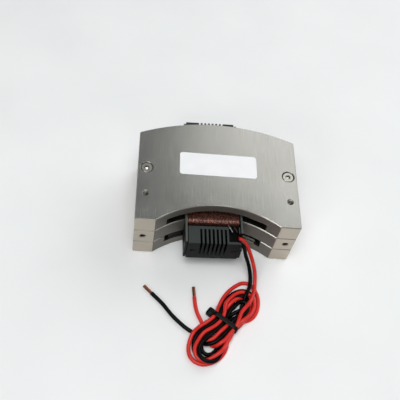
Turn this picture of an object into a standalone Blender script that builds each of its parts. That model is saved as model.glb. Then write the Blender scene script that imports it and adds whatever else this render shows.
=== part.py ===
"""Rotary voice coil motor: a stack of three yoke plates and a coil that swings round the middle one.

Metres, +Z up. The underside of the stack stands on z = 0, and the origin lies there, half-way
between the inner and the outer arc. The swing axis is vertical, and lies in front of the stack.
"""
import math

import bmesh
import bpy
from mathutils import Matrix, Vector

# Yoke stack
YOKE_WIDTH = 0.0950
INNER_RADIUS = 0.0590
OUTER_RADIUS = 0.1185
PLATE_THICKNESS = 0.0125
PLATE_CHAMFER = 0.0005
SEAT_GAP = 0.0003

# Magnets, and the pockets that hold them
POCKET_DEPTH = 0.0063
POCKET_SPARE = 0.0010
MAGNET_THICKNESS = 0.0027
MAGNET_INSET = 0.0015
MAGNET_END_GAP = 0.0031
MAGNET_CHAMFER = 0.0003

# Screws, dowels and tapped holes of the stack
FIXING_FROM_SIDE = 0.0053
FIXING_FROM_ARC = 0.006535
FIXING_FROM_POCKET = 0.006445
SCREW_FROM_FRONT = 0.0356
SCREW_HEAD_DIAMETER = 0.0070
SCREW_HEAD_HEIGHT = 0.0040
SCREW_HEAD_CHAMFER = 0.0004
SCREW_HEAD_SINK = 0.0004
SCREW_SHANK_DIAMETER = 0.0040
SCREW_TIP_COVER = 0.0040
SOCKET_ACROSS_FLATS = 0.0030
SOCKET_DEPTH = 0.0020
COUNTERBORE_CLEARANCE = 0.0005
DOWEL_FROM_FRONT = 0.0267
DOWEL_DIAMETER = 0.0030
DOWEL_LENGTH = 0.0200
DOWEL_CHAMFER = 0.0003
TAPPED_FROM_FRONT = 0.0178
TAPPED_DIAMETER = 0.0033
TAPPED_DEPTH = 0.0100
TAPPED_COUNTERSINK = 0.0004
FRONT_HOLE_DEPTH = 0.0080

# Coil carrier: distances along it are measured from the swing axis
REST_ANGLE = math.radians(1.5)
RUNNING_GAP = 0.00045
COIL_HALF_WIDTH = 0.0168
FLANGE_THICKNESS = 0.0012
FLANGE_LIP = 0.0002
FLANGE_FRONT_SETBACK = 0.0007
FLANGE_REAR_SETBACK = 0.0014
FLANGE_CORNER = 0.0010
CORE_WALL = 0.0004
CORE_CORNER = 0.0006
WINDING_LEG = 0.0017
WINDING_END = 0.0023
WINDING_CORNER = 0.0020

# Finned end blocks
BLOCK_HEIGHT = 0.0178
BLOCK_CHAMFER = 0.0003
FRONT_BLOCK_GAP = 0.0018
FRONT_BLOCK_DEPTH = 0.0117
REAR_BLOCK_GAP = 0.00095
REAR_BLOCK_DEPTH = 0.0050
FIN_COUNT = 7
FIN_PITCH = 0.00237
SLOT_WIDTH = 0.00125
SLOT_SHIFT = 0.0006
SAW_RADIUS = 0.0250
FRONT_SLOT_TOP_RUN = 0.0096
FRONT_SLOT_FACE_RUN = 0.0149
REAR_SLOT_TOP_RUN = 0.0035
REAR_SLOT_FACE_RUN = 0.0125
PAYLOAD_HOLE_FROM_SIDE = 0.0032
PAYLOAD_HOLE_DIAMETER = 0.0025
PAYLOAD_HOLE_DEPTH = 0.0050
PAYLOAD_COUNTERSINK = 0.0003

# Lead pocket of the front block
LEAD_POCKET_WIDTH = 0.0060
LEAD_POCKET_SIDE_WALL = 0.0010
LEAD_POCKET_FRONT_WALL = 0.0016
LEAD_POCKET_DEPTH = 0.0070
POTTING_BELOW_TOP = 0.0015
POTTING_REAR_SETBACK = 0.0004
BLACK_EXIT_FROM_BLOCK_FRONT = 0.0030
RED_EXIT_BEHIND_BLACK = 0.0026
RED_EXIT_ABOVE_BLACK = 0.0008
WIRE_EXIT_CLEARANCE = 0.0006
COIL_LEAD_DIAMETER = 0.0008
COIL_LEAD_REACH = 0.0048
COIL_LEAD_TURN = 0.0012

# Lead wires
WIRE_DIAMETER = 0.0023
WIRE_STUB = 0.0005
STRAND_DIAMETER = 0.0015
STRAND_LENGTH = 0.0060
POINT_SPACING = 1.6 * WIRE_DIAMETER

# Tied hank of the two wires
HANK_CENTRE = (0.0070, -0.0868)
HANK_ANGLE = math.radians(53.0)
HANK_HALF_LENGTH = 0.0295
HANK_WAIST = 0.0078
HANK_BULGE = 0.0138
HANK_HEIGHT = 0.0056
TIE_SHIFT = 0.0010
TIE_WIDTH = 0.0025
TIE_THICKNESS = 0.0011
TIE_PINCH = 0.0003
TIE_INNER_CORNER = 0.0013
TIE_HEAD = (0.0050, 0.0048, 0.0046)

# Routes of the wires where they aren't coiled, from the stack's own frame
RED_LEAD_BEND = [
    (0.0150, -0.0431, 0.0243), (0.0164, -0.0431, 0.0229), (0.0182, -0.0438, 0.0208),
    (0.0197, -0.0448, 0.0187), (0.0219, -0.0476, 0.0149), (0.0233, -0.0499, 0.0124),
    (0.0246, -0.0525, 0.0099), (0.0255, -0.0552, 0.0075), (0.0260, -0.0581, 0.0051),
    (0.0260, -0.0616, 0.0031),
]
BLACK_LEAD_BEND = [
    (0.0147, -0.0460, 0.0238), (0.0160, -0.0464, 0.0227), (0.0174, -0.0471, 0.0205),
    (0.0183, -0.0482, 0.0173), (0.0195, -0.0497, 0.0142), (0.0209, -0.0516, 0.0115),
    (0.0221, -0.0540, 0.0087), (0.0229, -0.0566, 0.0061), (0.0233, -0.0589, 0.0039),
    (0.0233, -0.0610, 0.0018),
]
RED_TAIL_ROUTE = [
    (-0.0040, -0.0867, 0.0016), (-0.0066, -0.0836, 0.0013), (-0.0084, -0.0792, 0.0012),
    (-0.0094, -0.0746, 0.0012), (-0.0098, -0.0704, 0.0012),
]
BLACK_TAIL_ROUTE = [
    (-0.0099, -0.0922, 0.0016), (-0.0136, -0.0903, 0.0013), (-0.0180, -0.0867, 0.0012),
    (-0.0232, -0.0817, 0.0012), (-0.0282, -0.0756, 0.0012), (-0.0349, -0.0692, 0.0012),
]

# The two sides of the motor
SIDES = (-1, 1)
HANDS = ("left", "right")

# Facets
ARC_STEP = math.radians(2.0)
HOLE_SIDES = 32
SAW_SIDES = 96
SOCKET_SIDES = 6
CORNER_STEPS = 6
HANK_STEPS = 48
CUT_OVERRUN = 0.0020
FLAT_ANGLE = math.radians(0.5)
SHARP_ANGLE = math.radians(30.0)
WELD = 0.000001

# Sizes that follow from the ones above
MEAN_RADIUS = (INNER_RADIUS + OUTER_RADIUS) / 2
FIXING_X = YOKE_WIDTH / 2 - FIXING_FROM_SIDE
FRONT_CORNER_X = FIXING_X - FIXING_FROM_ARC
FRONT_FROM_AXIS = math.sqrt(INNER_RADIUS ** 2 - FRONT_CORNER_X ** 2)
STACK_STEP = PLATE_THICKNESS + SEAT_GAP
STACK_HEIGHT = 3 * PLATE_THICKNESS + 2 * SEAT_GAP
MID_HEIGHT = STACK_HEIGHT / 2
FRONT_FLAT_Y = FRONT_FROM_AXIS - MEAN_RADIUS
POCKET_OFFSET = COIL_HALF_WIDTH + POCKET_SPARE
WALL_NEAR_SCREW = (FIXING_X - FIXING_FROM_POCKET, FRONT_FROM_AXIS + SCREW_FROM_FRONT)
POCKET_WALL_ANGLE = math.acos(POCKET_OFFSET / math.hypot(*WALL_NEAR_SCREW)) - math.atan2(
    WALL_NEAR_SCREW[1], WALL_NEAR_SCREW[0])
FLANGE_INNER_X = COIL_HALF_WIDTH - FLANGE_THICKNESS
INSIDE_HALF_WIDTH = FLANGE_INNER_X - SEAT_GAP
WINDOW_HALF_HEIGHT = PLATE_THICKNESS / 2 + RUNNING_GAP
WINDOW_FRONT = math.sqrt(INNER_RADIUS ** 2 - COIL_HALF_WIDTH ** 2) - RUNNING_GAP
WINDOW_REAR = OUTER_RADIUS + RUNNING_GAP
CORE_TO_WINDING = CORE_WALL + SEAT_GAP
WINDING_HALF_HEIGHT = WINDOW_HALF_HEIGHT + CORE_TO_WINDING + WINDING_LEG
WINDING_FRONT = WINDOW_FRONT - CORE_TO_WINDING - WINDING_END
WINDING_REAR = WINDOW_REAR + CORE_TO_WINDING + WINDING_END
BLOCK_TOP = MID_HEIGHT + BLOCK_HEIGHT / 2
BLOCK_BOTTOM = MID_HEIGHT - BLOCK_HEIGHT / 2
FRONT_BLOCK_REAR = WINDING_FRONT - FRONT_BLOCK_GAP
FRONT_BLOCK_FRONT = FRONT_BLOCK_REAR - FRONT_BLOCK_DEPTH
REAR_BLOCK_FRONT = WINDING_REAR + REAR_BLOCK_GAP
REAR_BLOCK_REAR = REAR_BLOCK_FRONT + REAR_BLOCK_DEPTH
LEAD_POCKET_RIGHT = INSIDE_HALF_WIDTH - LEAD_POCKET_SIDE_WALL
LEAD_POCKET_LEFT = LEAD_POCKET_RIGHT - LEAD_POCKET_WIDTH
LEAD_POCKET_FLOOR = BLOCK_TOP - LEAD_POCKET_DEPTH
BLACK_EXIT_FROM_AXIS = FRONT_BLOCK_FRONT + BLACK_EXIT_FROM_BLOCK_FRONT
RED_EXIT_FROM_AXIS = BLACK_EXIT_FROM_AXIS + RED_EXIT_BEHIND_BLACK
WIRE_EXIT_FRONT = BLACK_EXIT_FROM_AXIS - WIRE_DIAMETER / 2 - WIRE_EXIT_CLEARANCE
WIRE_EXIT_REAR = RED_EXIT_FROM_AXIS + WIRE_DIAMETER / 2 + WIRE_EXIT_CLEARANCE
PAYLOAD_HOLE_X = INSIDE_HALF_WIDTH - PAYLOAD_HOLE_FROM_SIDE
POTTING_TOP = BLOCK_TOP - POTTING_BELOW_TOP
RED_EXIT_HEIGHT = POTTING_TOP - SEAT_GAP / 2 - WIRE_DIAMETER / 2
BLACK_EXIT_HEIGHT = RED_EXIT_HEIGHT - RED_EXIT_ABOVE_BLACK


def clear_scene():
    """Remove every object that the file opened with."""
    for obj in list(bpy.data.objects):
        bpy.data.objects.remove(obj, do_unlink=True)


def new_collection(name):
    """Make a collection in the scene."""
    collection = bpy.data.collections.new(name)
    bpy.context.scene.collection.children.link(collection)
    return collection


def new_material(name, color, metallic, roughness):
    """Make a plain material for one kind of surface."""
    material = bpy.data.materials.new(name)
    material.use_nodes = True
    shader = material.node_tree.nodes["Principled BSDF"]
    shader.inputs["Base Color"].default_value = (*color, 1.0)
    shader.inputs["Metallic"].default_value = metallic
    shader.inputs["Roughness"].default_value = roughness
    return material


def mesh_object(name, mesh, matrix=None):
    """Wrap a mesh in an object of the same name."""
    mesh.name = name
    obj = bpy.data.objects.new(name, mesh)
    if matrix is not None:
        obj.matrix_world = matrix
    return obj


def place(obj, collection, material, axis=None):
    """Put a finished piece in the model, on the swing axis where it is given."""
    collection.objects.link(obj)
    obj.data.materials.clear()
    obj.data.materials.append(material)
    obj.parent = axis
    return obj


def carry(obj, axis):
    """Hang a piece on the swing axis without moving it."""
    obj.parent = axis
    obj.matrix_parent_inverse = axis.matrix_world.inverted()


def baked_mesh(obj):
    """The evaluated mesh of an object that was made only for it, which is then removed."""
    bpy.context.scene.collection.objects.link(obj)
    bpy.context.view_layer.update()
    depsgraph = bpy.context.evaluated_depsgraph_get()
    mesh = bpy.data.meshes.new_from_object(obj.evaluated_get(depsgraph))
    bpy.data.objects.remove(obj, do_unlink=True)
    return mesh


def tidy_mesh(mesh, dissolve=True):
    """Weld a mesh's caps to its sides and merge the triangles of its flat faces."""
    bm = bmesh.new()
    bm.from_mesh(mesh)
    bmesh.ops.remove_doubles(bm, verts=bm.verts, dist=WELD)
    if dissolve:
        bmesh.ops.dissolve_limit(bm, angle_limit=FLAT_ANGLE, verts=bm.verts, edges=bm.edges)
    bmesh.ops.recalc_face_normals(bm, faces=bm.faces)
    bm.to_mesh(mesh)
    bm.free()
    return mesh


def shade(mesh):
    """Shade the round faces of a mesh smooth and keep its real edges sharp."""
    mesh.shade_smooth()
    mesh.set_sharp_from_angle(angle=SHARP_ANGLE)
    return mesh


def extruded(name, loops, low, high, turn=None):
    """A flat outline, with its holes, drawn out along its own Z from low to high."""
    outline = bpy.data.curves.new(name + "_outline", "CURVE")
    outline.dimensions = "2D"
    outline.fill_mode = "BOTH"
    outline.extrude = (high - low) / 2
    for loop in loops:
        spline = outline.splines.new("POLY")
        spline.points.add(len(loop) - 1)
        spline.use_cyclic_u = True
        for point, (x, y) in zip(spline.points, loop):
            point.co = (x, y, 0.0, 1.0)
    flat = bpy.data.objects.new(name + "_outline", outline)
    matrix = Matrix.Translation((0.0, 0.0, (low + high) / 2))
    if turn is not None:
        matrix = turn @ matrix
    mesh = tidy_mesh(baked_mesh(flat))
    return mesh_object(name, shade(mesh), matrix)


def turned_mesh(name, profile, sides=HOLE_SIDES):
    """A solid of revolution about Z, from a profile that runs from top to bottom."""
    bm = bmesh.new()
    points = [bm.verts.new((radius, 0.0, height)) for radius, height in profile]
    for first, second in zip(points, points[1:]):
        bm.edges.new((first, second))
    mesh = bpy.data.meshes.new(name + "_profile")
    bm.to_mesh(mesh)
    bm.free()
    lathe = bpy.data.objects.new(name + "_profile", mesh)
    screw = lathe.modifiers.new("turn", "SCREW")
    screw.steps = sides
    screw.render_steps = sides
    screw.use_merge_vertices = True
    screw.merge_threshold = WELD
    return tidy_mesh(baked_mesh(lathe))


def copies(name, mesh, matrices):
    """Separate copies of one mesh, together in one object."""
    bm = bmesh.new()
    for matrix in matrices:
        part = mesh.copy()
        part.transform(matrix)
        bm.from_mesh(part)
        bpy.data.meshes.remove(part)
    joined = bpy.data.meshes.new(name)
    bm.to_mesh(joined)
    bm.free()
    return mesh_object(name, shade(joined))


def box(name, low, high):
    """A plain block between two corners."""
    bm = bmesh.new()
    bmesh.ops.create_cube(bm, size=1.0)
    size = Vector(high) - Vector(low)
    middle = (Vector(high) + Vector(low)) / 2
    bmesh.ops.scale(bm, vec=size, verts=bm.verts)
    bmesh.ops.translate(bm, vec=middle, verts=bm.verts)
    mesh = bpy.data.meshes.new(name)
    bm.to_mesh(mesh)
    bm.free()
    return mesh_object(name, mesh)


def cut(target, cutter, cutters, operation="DIFFERENCE"):
    """Cut a target with a hidden tool shape, which moves with it."""
    cutters.objects.link(cutter)
    cutter.hide_render = True
    cutter.display_type = "WIRE"
    cutter.parent = target.parent
    boolean = target.modifiers.new(cutter.name, "BOOLEAN")
    boolean.operation = operation
    boolean.object = cutter


def chamfer(obj, width):
    """Break the sharp edges of a piece."""
    bevel = obj.modifiers.new("edges", "BEVEL")
    bevel.width = width
    bevel.segments = 1
    bevel.limit_method = "ANGLE"
    bevel.angle_limit = SHARP_ANGLE


def arc(radius, start, end):
    """Points of an arc about the swing axis, at angles from the +Y direction towards +X."""
    steps = max(2, math.ceil(abs(end - start) / ARC_STEP))
    angles = [start + (end - start) * i / steps for i in range(steps + 1)]
    return [(radius * math.sin(a), radius * math.cos(a) - MEAN_RADIUS) for a in angles]


def rounded_rectangle(low, high, radius):
    """Points of a rectangle between two corners, with round corners."""
    points = []
    centres = (
        (high[0] - radius, high[1] - radius, 0.0),
        (low[0] + radius, high[1] - radius, math.pi / 2),
        (low[0] + radius, low[1] + radius, math.pi),
        (high[0] - radius, low[1] + radius, 1.5 * math.pi),
    )
    for x, y, start in centres:
        for i in range(CORNER_STEPS + 1):
            angle = start + (math.pi / 2) * i / CORNER_STEPS
            points.append((x + radius * math.cos(angle), y + radius * math.sin(angle)))
    return points


def lengthwise():
    """The turn that stands an outline of (distance from the axis, height) up along the carrier."""
    return Matrix(((0, 0, 1, 0), (1, 0, 0, 0), (0, 1, 0, 0), (0, 0, 0, 1)))


def plate_outline():
    """Outline of a yoke plate: an arc-shaped band with straight sides and two front flats."""
    front_angle = math.asin(FRONT_CORNER_X / INNER_RADIUS)
    rear_angle = math.asin(YOKE_WIDTH / 2 / OUTER_RADIUS)
    inner = arc(INNER_RADIUS, -front_angle, front_angle)
    outer = arc(OUTER_RADIUS, rear_angle, -rear_angle)
    right = [(YOKE_WIDTH / 2, FRONT_FLAT_Y)]
    left = [(-YOKE_WIDTH / 2, FRONT_FLAT_Y)]
    return inner + right + outer + left


def wall_point(offset, along, side):
    """A point on a line parallel to a pocket's end wall, offset from the swing axis."""
    x = offset * math.cos(POCKET_WALL_ANGLE) + along * math.sin(POCKET_WALL_ANGLE)
    y = along * math.cos(POCKET_WALL_ANGLE) - offset * math.sin(POCKET_WALL_ANGLE)
    return (side * x, y - MEAN_RADIUS)


def wall_angle_at(offset, radius):
    """Angle from +Y at which such a line crosses a radius."""
    return POCKET_WALL_ANGLE + math.asin(offset / radius)


def pocket_cutter(name, low, high):
    """The space that a pocket takes out of a plate, open at both arcs."""
    offset = POCKET_OFFSET
    near = INNER_RADIUS * math.cos(wall_angle_at(offset, INNER_RADIUS)) - CUT_OVERRUN
    far = (OUTER_RADIUS + CUT_OVERRUN + offset * math.sin(POCKET_WALL_ANGLE)) / math.cos(POCKET_WALL_ANGLE)
    corners = [wall_point(offset, near, -1), wall_point(offset, near, 1)]
    corners += [wall_point(offset, far, 1), wall_point(offset, far, -1)]
    return extruded(name, [corners], low, high)


def fixing_places(from_front, height=0.0):
    """The left and right place of a fixing in the stack."""
    y = FRONT_FLAT_Y + from_front
    return [Matrix.Translation((side * FIXING_X, y, height)) for side in SIDES]


def tapped_profile(diameter, depth, countersink):
    """Profile of a blind tapped hole, with its mouth at z = 0."""
    radius = diameter / 2
    return [
        (0.0, CUT_OVERRUN), (radius + countersink, CUT_OVERRUN), (radius + countersink, 0.0),
        (radius, -countersink), (radius, -depth), (0.0, -depth - radius / 2),
    ]


def yoke_plate(name, level, collection, material):
    """One plate of the stack, uncut, with its edges broken."""
    low = level * STACK_STEP
    high = low + PLATE_THICKNESS
    plate = place(extruded(name, [plate_outline()], low, high), collection, material)
    chamfer(plate, PLATE_CHAMFER)
    return plate


def stack_holes(name, top, bottom):
    """Cutter for the two screws: counterbores and shank holes down the whole stack."""
    bore = SCREW_HEAD_DIAMETER / 2 + COUNTERBORE_CLEARANCE
    shank = SCREW_SHANK_DIAMETER / 2 + SEAT_GAP
    seat = STACK_HEIGHT - SCREW_HEAD_SINK - SCREW_HEAD_HEIGHT - SEAT_GAP
    profile = [(0.0, top)]
    if top > seat:
        profile += [(bore, top), (bore, seat), (shank, seat)]
    else:
        profile += [(shank, top)]
    profile += [(shank, bottom), (0.0, bottom)]
    return copies(name, turned_mesh(name, profile), fixing_places(SCREW_FROM_FRONT))


def dowel_holes(name, low, high):
    """Cutter for the two dowels between two heights."""
    radius = DOWEL_DIAMETER / 2 + SEAT_GAP
    profile = [(0.0, high), (radius, high), (radius, low), (0.0, low)]
    return copies(name, turned_mesh(name, profile), fixing_places(DOWEL_FROM_FRONT))


def tapped_holes(name, face, upwards):
    """Cutter for the two tapped holes in the top or the underside of the stack."""
    mesh = turned_mesh(name, tapped_profile(TAPPED_DIAMETER, TAPPED_DEPTH, TAPPED_COUNTERSINK))
    if not upwards:
        mesh.transform(Matrix.Rotation(math.pi, 4, "X"))
    return copies(name, mesh, fixing_places(TAPPED_FROM_FRONT, face))


def yoke_stack(collection, cutters, material):
    """The three plates: pole pieces above and below, and the centre plate that the coil rings."""
    tip = SCREW_TIP_COVER - SEAT_GAP
    dowel_low = MID_HEIGHT - DOWEL_LENGTH / 2 - SEAT_GAP
    dowel_high = MID_HEIGHT + DOWEL_LENGTH / 2 + SEAT_GAP
    lower = yoke_plate("lower_yoke_plate", 0, collection, material)
    centre = yoke_plate("centre_yoke_plate", 1, collection, material)
    upper = yoke_plate("upper_yoke_plate", 2, collection, material)
    lower_top = PLATE_THICKNESS
    upper_bottom = 2 * STACK_STEP
    cut(lower, pocket_cutter("lower_pocket", lower_top - POCKET_DEPTH, lower_top + CUT_OVERRUN), cutters)
    cut(upper, pocket_cutter("upper_pocket", upper_bottom - CUT_OVERRUN, upper_bottom + POCKET_DEPTH), cutters)
    cut(lower, stack_holes("lower_screw_holes", STACK_STEP, tip), cutters)
    cut(centre, stack_holes("centre_screw_holes", upper_bottom, lower_top), cutters)
    cut(upper, stack_holes("upper_screw_holes", STACK_HEIGHT + CUT_OVERRUN, upper_bottom - CUT_OVERRUN), cutters)
    cut(lower, dowel_holes("lower_dowel_holes", dowel_low, STACK_STEP), cutters)
    cut(centre, dowel_holes("centre_dowel_holes", lower_top, upper_bottom), cutters)
    cut(upper, dowel_holes("upper_dowel_holes", upper_bottom - CUT_OVERRUN, dowel_high), cutters)
    cut(lower, tapped_holes("base_tapped_holes", 0.0, False), cutters)
    cut(upper, tapped_holes("top_tapped_holes", STACK_HEIGHT, True), cutters)
    front = turned_mesh("front_holes", tapped_profile(TAPPED_DIAMETER, FRONT_HOLE_DEPTH, TAPPED_COUNTERSINK))
    front.transform(Matrix.Rotation(math.pi / 2, 4, "X"))
    cut(centre, copies("front_holes", front, fixing_places(0.0, MID_HEIGHT)), cutters)


def magnets(collection, material):
    """Two arc segments in each pocket, short of its end walls and of both arcs."""
    offset = POCKET_OFFSET - MAGNET_END_GAP
    inner = INNER_RADIUS + MAGNET_INSET
    outer = OUTER_RADIUS - MAGNET_INSET
    upper_high = 2 * STACK_STEP + POCKET_DEPTH - SEAT_GAP
    lower_low = PLATE_THICKNESS - POCKET_DEPTH + SEAT_GAP
    levels = {"upper": upper_high - MAGNET_THICKNESS, "lower": lower_low}
    for level, low in levels.items():
        for side, hand in zip(SIDES, HANDS):
            start_inner = side * math.asin(SEAT_GAP / 2 / inner)
            start_outer = side * math.asin(SEAT_GAP / 2 / outer)
            outline = arc(inner, start_inner, side * wall_angle_at(offset, inner))
            outline += arc(outer, side * wall_angle_at(offset, outer), start_outer)
            name = f"{level}_magnet_{hand}"
            magnet = place(extruded(name, [outline], low, low + MAGNET_THICKNESS), collection, material)
            chamfer(magnet, MAGNET_CHAMFER)


def screws(collection, cutters, material):
    """The two long socket screws that clamp the stack."""
    top = STACK_HEIGHT - SCREW_HEAD_SINK
    head = SCREW_HEAD_DIAMETER / 2
    shank = SCREW_SHANK_DIAMETER / 2
    profile = [
        (0.0, top), (head - SCREW_HEAD_CHAMFER, top), (head, top - SCREW_HEAD_CHAMFER),
        (head, top - SCREW_HEAD_HEIGHT), (shank, top - SCREW_HEAD_HEIGHT),
        (shank, SCREW_TIP_COVER), (0.0, SCREW_TIP_COVER),
    ]
    corner = SOCKET_ACROSS_FLATS / 2 / math.cos(math.pi / 6)
    socket_profile = [
        (0.0, top + CUT_OVERRUN), (corner, top + CUT_OVERRUN), (corner, top - SOCKET_DEPTH),
        (0.0, top - SOCKET_DEPTH - corner / 3),
    ]
    mesh = shade(turned_mesh("yoke_screw", profile))
    socket = turned_mesh("socket", socket_profile, SOCKET_SIDES)
    for hand, spot in zip(HANDS, fixing_places(SCREW_FROM_FRONT)):
        screw = place(mesh_object(f"yoke_screw_{hand}", mesh, spot), collection, material)
        cut(screw, mesh_object(f"socket_{hand}", socket, spot), cutters)


def dowels(collection, material):
    """The two pins that line the plates up."""
    half = DOWEL_LENGTH / 2
    radius = DOWEL_DIAMETER / 2
    profile = [
        (0.0, half), (radius - DOWEL_CHAMFER, half), (radius, half - DOWEL_CHAMFER),
        (radius, DOWEL_CHAMFER - half), (radius - DOWEL_CHAMFER, -half), (0.0, -half),
    ]
    mesh = shade(turned_mesh("dowel_pin", profile))
    for hand, spot in zip(HANDS, fixing_places(DOWEL_FROM_FRONT, MID_HEIGHT)):
        place(mesh_object(f"dowel_pin_{hand}", mesh, spot), collection, material)


def window(grow_ends, grow_height, corner):
    """Outline round the centre plate, grown from the coil's window."""
    low = (WINDOW_FRONT - grow_ends, MID_HEIGHT - WINDOW_HALF_HEIGHT - grow_height)
    high = (WINDOW_REAR + grow_ends, MID_HEIGHT + WINDOW_HALF_HEIGHT + grow_height)
    return rounded_rectangle(low, high, corner)


def bobbin(collection, cutters, axis, materials):
    """The former that the coil is wound on, its two flanges, and the coil itself."""
    loops = [window(CORE_WALL, CORE_WALL, CORE_CORNER + CORE_WALL), window(0.0, 0.0, CORE_CORNER)]
    core = extruded("bobbin_core", loops, -INSIDE_HALF_WIDTH, INSIDE_HALF_WIDTH, lengthwise())
    place(core, collection, materials["black"], axis)

    loops = [
        window(CORE_TO_WINDING + WINDING_END, CORE_TO_WINDING + WINDING_LEG, WINDING_CORNER),
        window(CORE_TO_WINDING, CORE_TO_WINDING, CORE_CORNER + CORE_TO_WINDING),
    ]
    coil = extruded("coil_winding", loops, -INSIDE_HALF_WIDTH, INSIDE_HALF_WIDTH, lengthwise())
    place(coil, collection, materials["copper"], axis)

    half_height = WINDING_HALF_HEIGHT + FLANGE_LIP
    low = (FRONT_BLOCK_FRONT + FLANGE_FRONT_SETBACK, MID_HEIGHT - half_height)
    high = (REAR_BLOCK_REAR - FLANGE_REAR_SETBACK, MID_HEIGHT + half_height)
    loops = [rounded_rectangle(low, high, FLANGE_CORNER), window(0.0, 0.0, CORE_CORNER)]
    for side, hand in zip(SIDES, HANDS):
        near = side * FLANGE_INNER_X
        far = side * COIL_HALF_WIDTH
        flange = extruded(f"bobbin_flange_{hand}", loops, min(near, far), max(near, far), lengthwise())
        place(flange, collection, materials["black"], axis)
        if side > 0:
            notch = wire_exit_cutter("flange_wire_exit", FLANGE_INNER_X, COIL_HALF_WIDTH, FRONT_BLOCK_FRONT)
            cut(flange, notch, cutters)


def wire_exit_cutter(name, low_x, high_x, front):
    """The notch that both wires leave through side by side, open at the top."""
    low = (low_x - SEAT_GAP, front, LEAD_POCKET_FLOOR)
    high = (high_x + SEAT_GAP, WIRE_EXIT_REAR, BLOCK_TOP + CUT_OVERRUN)
    return box(name, low, high)


def saw_cutter(name, face, inwards, top_run, face_run, shift):
    """Saw blades that cut the slots across the edge between a block's top and its outer face.

    Each blade passes through the two ends of a slot, so the slot's floor is a part of its rim.
    """
    length = math.hypot(top_run, face_run)
    reach = math.sqrt(SAW_RADIUS ** 2 - (length / 2) ** 2)
    y = face + inwards * (top_run / 2 - reach * face_run / length)
    z = BLOCK_TOP - face_run / 2 + reach * top_run / length
    half = SLOT_WIDTH / 2
    profile = [(0.0, half), (SAW_RADIUS, half), (SAW_RADIUS, -half), (0.0, -half)]
    blade = turned_mesh(name, profile, SAW_SIDES)
    blade.transform(Matrix.Rotation(math.pi / 2, 4, "Y"))
    offsets = [shift + (i - (FIN_COUNT - 1) / 2) * FIN_PITCH for i in range(FIN_COUNT)]
    return copies(name, blade, [Matrix.Translation((x, y, z)) for x in offsets])


def end_block(name, front, rear):
    """A plain end block between the flanges."""
    low = (-INSIDE_HALF_WIDTH, front, BLOCK_BOTTOM)
    high = (INSIDE_HALF_WIDTH, rear, BLOCK_TOP)
    return box(name, low, high)


def blocks(collection, cutters, axis, material):
    """The two finned blocks that cool the coil and take the load at its ends."""
    front = end_block("front_finned_block", FRONT_BLOCK_FRONT, FRONT_BLOCK_REAR)
    place(front, collection, material, axis)
    chamfer(front, BLOCK_CHAMFER)
    blades = saw_cutter("front_slots", FRONT_BLOCK_FRONT, 1, FRONT_SLOT_TOP_RUN, FRONT_SLOT_FACE_RUN,
                        -SLOT_SHIFT)
    cut(front, blades, cutters)
    low = (LEAD_POCKET_LEFT, FRONT_BLOCK_FRONT + LEAD_POCKET_FRONT_WALL, LEAD_POCKET_FLOOR)
    high = (LEAD_POCKET_RIGHT, FRONT_BLOCK_REAR + CUT_OVERRUN, BLOCK_TOP + CUT_OVERRUN)
    cut(front, box("lead_pocket", low, high), cutters)
    notch = wire_exit_cutter("block_wire_exit", LEAD_POCKET_RIGHT, INSIDE_HALF_WIDTH, WIRE_EXIT_FRONT)
    cut(front, notch, cutters)
    hole = turned_mesh("payload_holes", tapped_profile(PAYLOAD_HOLE_DIAMETER, PAYLOAD_HOLE_DEPTH,
                                                       PAYLOAD_COUNTERSINK))
    hole.transform(Matrix.Rotation(math.pi / 2, 4, "X"))
    places = [Matrix.Translation((x, FRONT_BLOCK_FRONT, MID_HEIGHT)) for x in (-PAYLOAD_HOLE_X, PAYLOAD_HOLE_X)]
    cut(front, copies("payload_holes", hole, places), cutters)

    rear = end_block("rear_finned_block", REAR_BLOCK_FRONT, REAR_BLOCK_REAR)
    place(rear, collection, material, axis)
    chamfer(rear, BLOCK_CHAMFER)
    blades = saw_cutter("rear_slots", REAR_BLOCK_REAR, -1, REAR_SLOT_TOP_RUN, REAR_SLOT_FACE_RUN,
                        SLOT_SHIFT)
    cut(rear, blades, cutters)


def potting(collection, axis, material):
    """The cast filling of the lead pocket, which grips the ends of both wires."""
    low = (
        LEAD_POCKET_LEFT + SEAT_GAP,
        FRONT_BLOCK_FRONT + LEAD_POCKET_FRONT_WALL + SEAT_GAP,
        LEAD_POCKET_FLOOR + SEAT_GAP,
    )
    high = (LEAD_POCKET_RIGHT - SEAT_GAP, FRONT_BLOCK_REAR - POTTING_REAR_SETBACK, POTTING_TOP)
    place(box("lead_potting", low, high), collection, material, axis)


def smooth_route(points, spacing):
    """Points at even steps along a smooth curve through a route."""
    knots = [Vector(p) for p in points]
    padded = [2 * knots[0] - knots[1]] + knots + [2 * knots[-1] - knots[-2]]
    fine = []
    for before, start, end, after in zip(padded, padded[1:], padded[2:], padded[3:]):
        for i in range(CORNER_STEPS * 2):
            t = i / (CORNER_STEPS * 2)
            fine.append(
                0.5 * (2 * start + (end - before) * t + (2 * before - 5 * start + 4 * end - after) * t ** 2
                       + (3 * start - before - 3 * end + after) * t ** 3)
            )
    fine.append(knots[-1])
    lengths = [0.0]
    for first, second in zip(fine, fine[1:]):
        lengths.append(lengths[-1] + (second - first).length)
    count = max(2, round(lengths[-1] / spacing))
    result = []
    k = 0
    for i in range(count + 1):
        goal = lengths[-1] * i / count
        while k < len(fine) - 2 and lengths[k + 1] < goal:
            k += 1
        share = (goal - lengths[k]) / (lengths[k + 1] - lengths[k])
        result.append(fine[k].lerp(fine[k + 1], share))
    return result


def tube(name, points, diameter):
    """A round wire with closed ends along some points."""
    path = bpy.data.curves.new(name, "CURVE")
    path.dimensions = "3D"
    path.bevel_depth = diameter / 2
    path.bevel_resolution = 2
    path.use_fill_caps = True
    spline = path.splines.new("POLY")
    spline.points.add(len(points) - 1)
    for point, co in zip(spline.points, points):
        point.co = (*co, 1.0)
    return bpy.data.objects.new(name, path)


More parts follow.
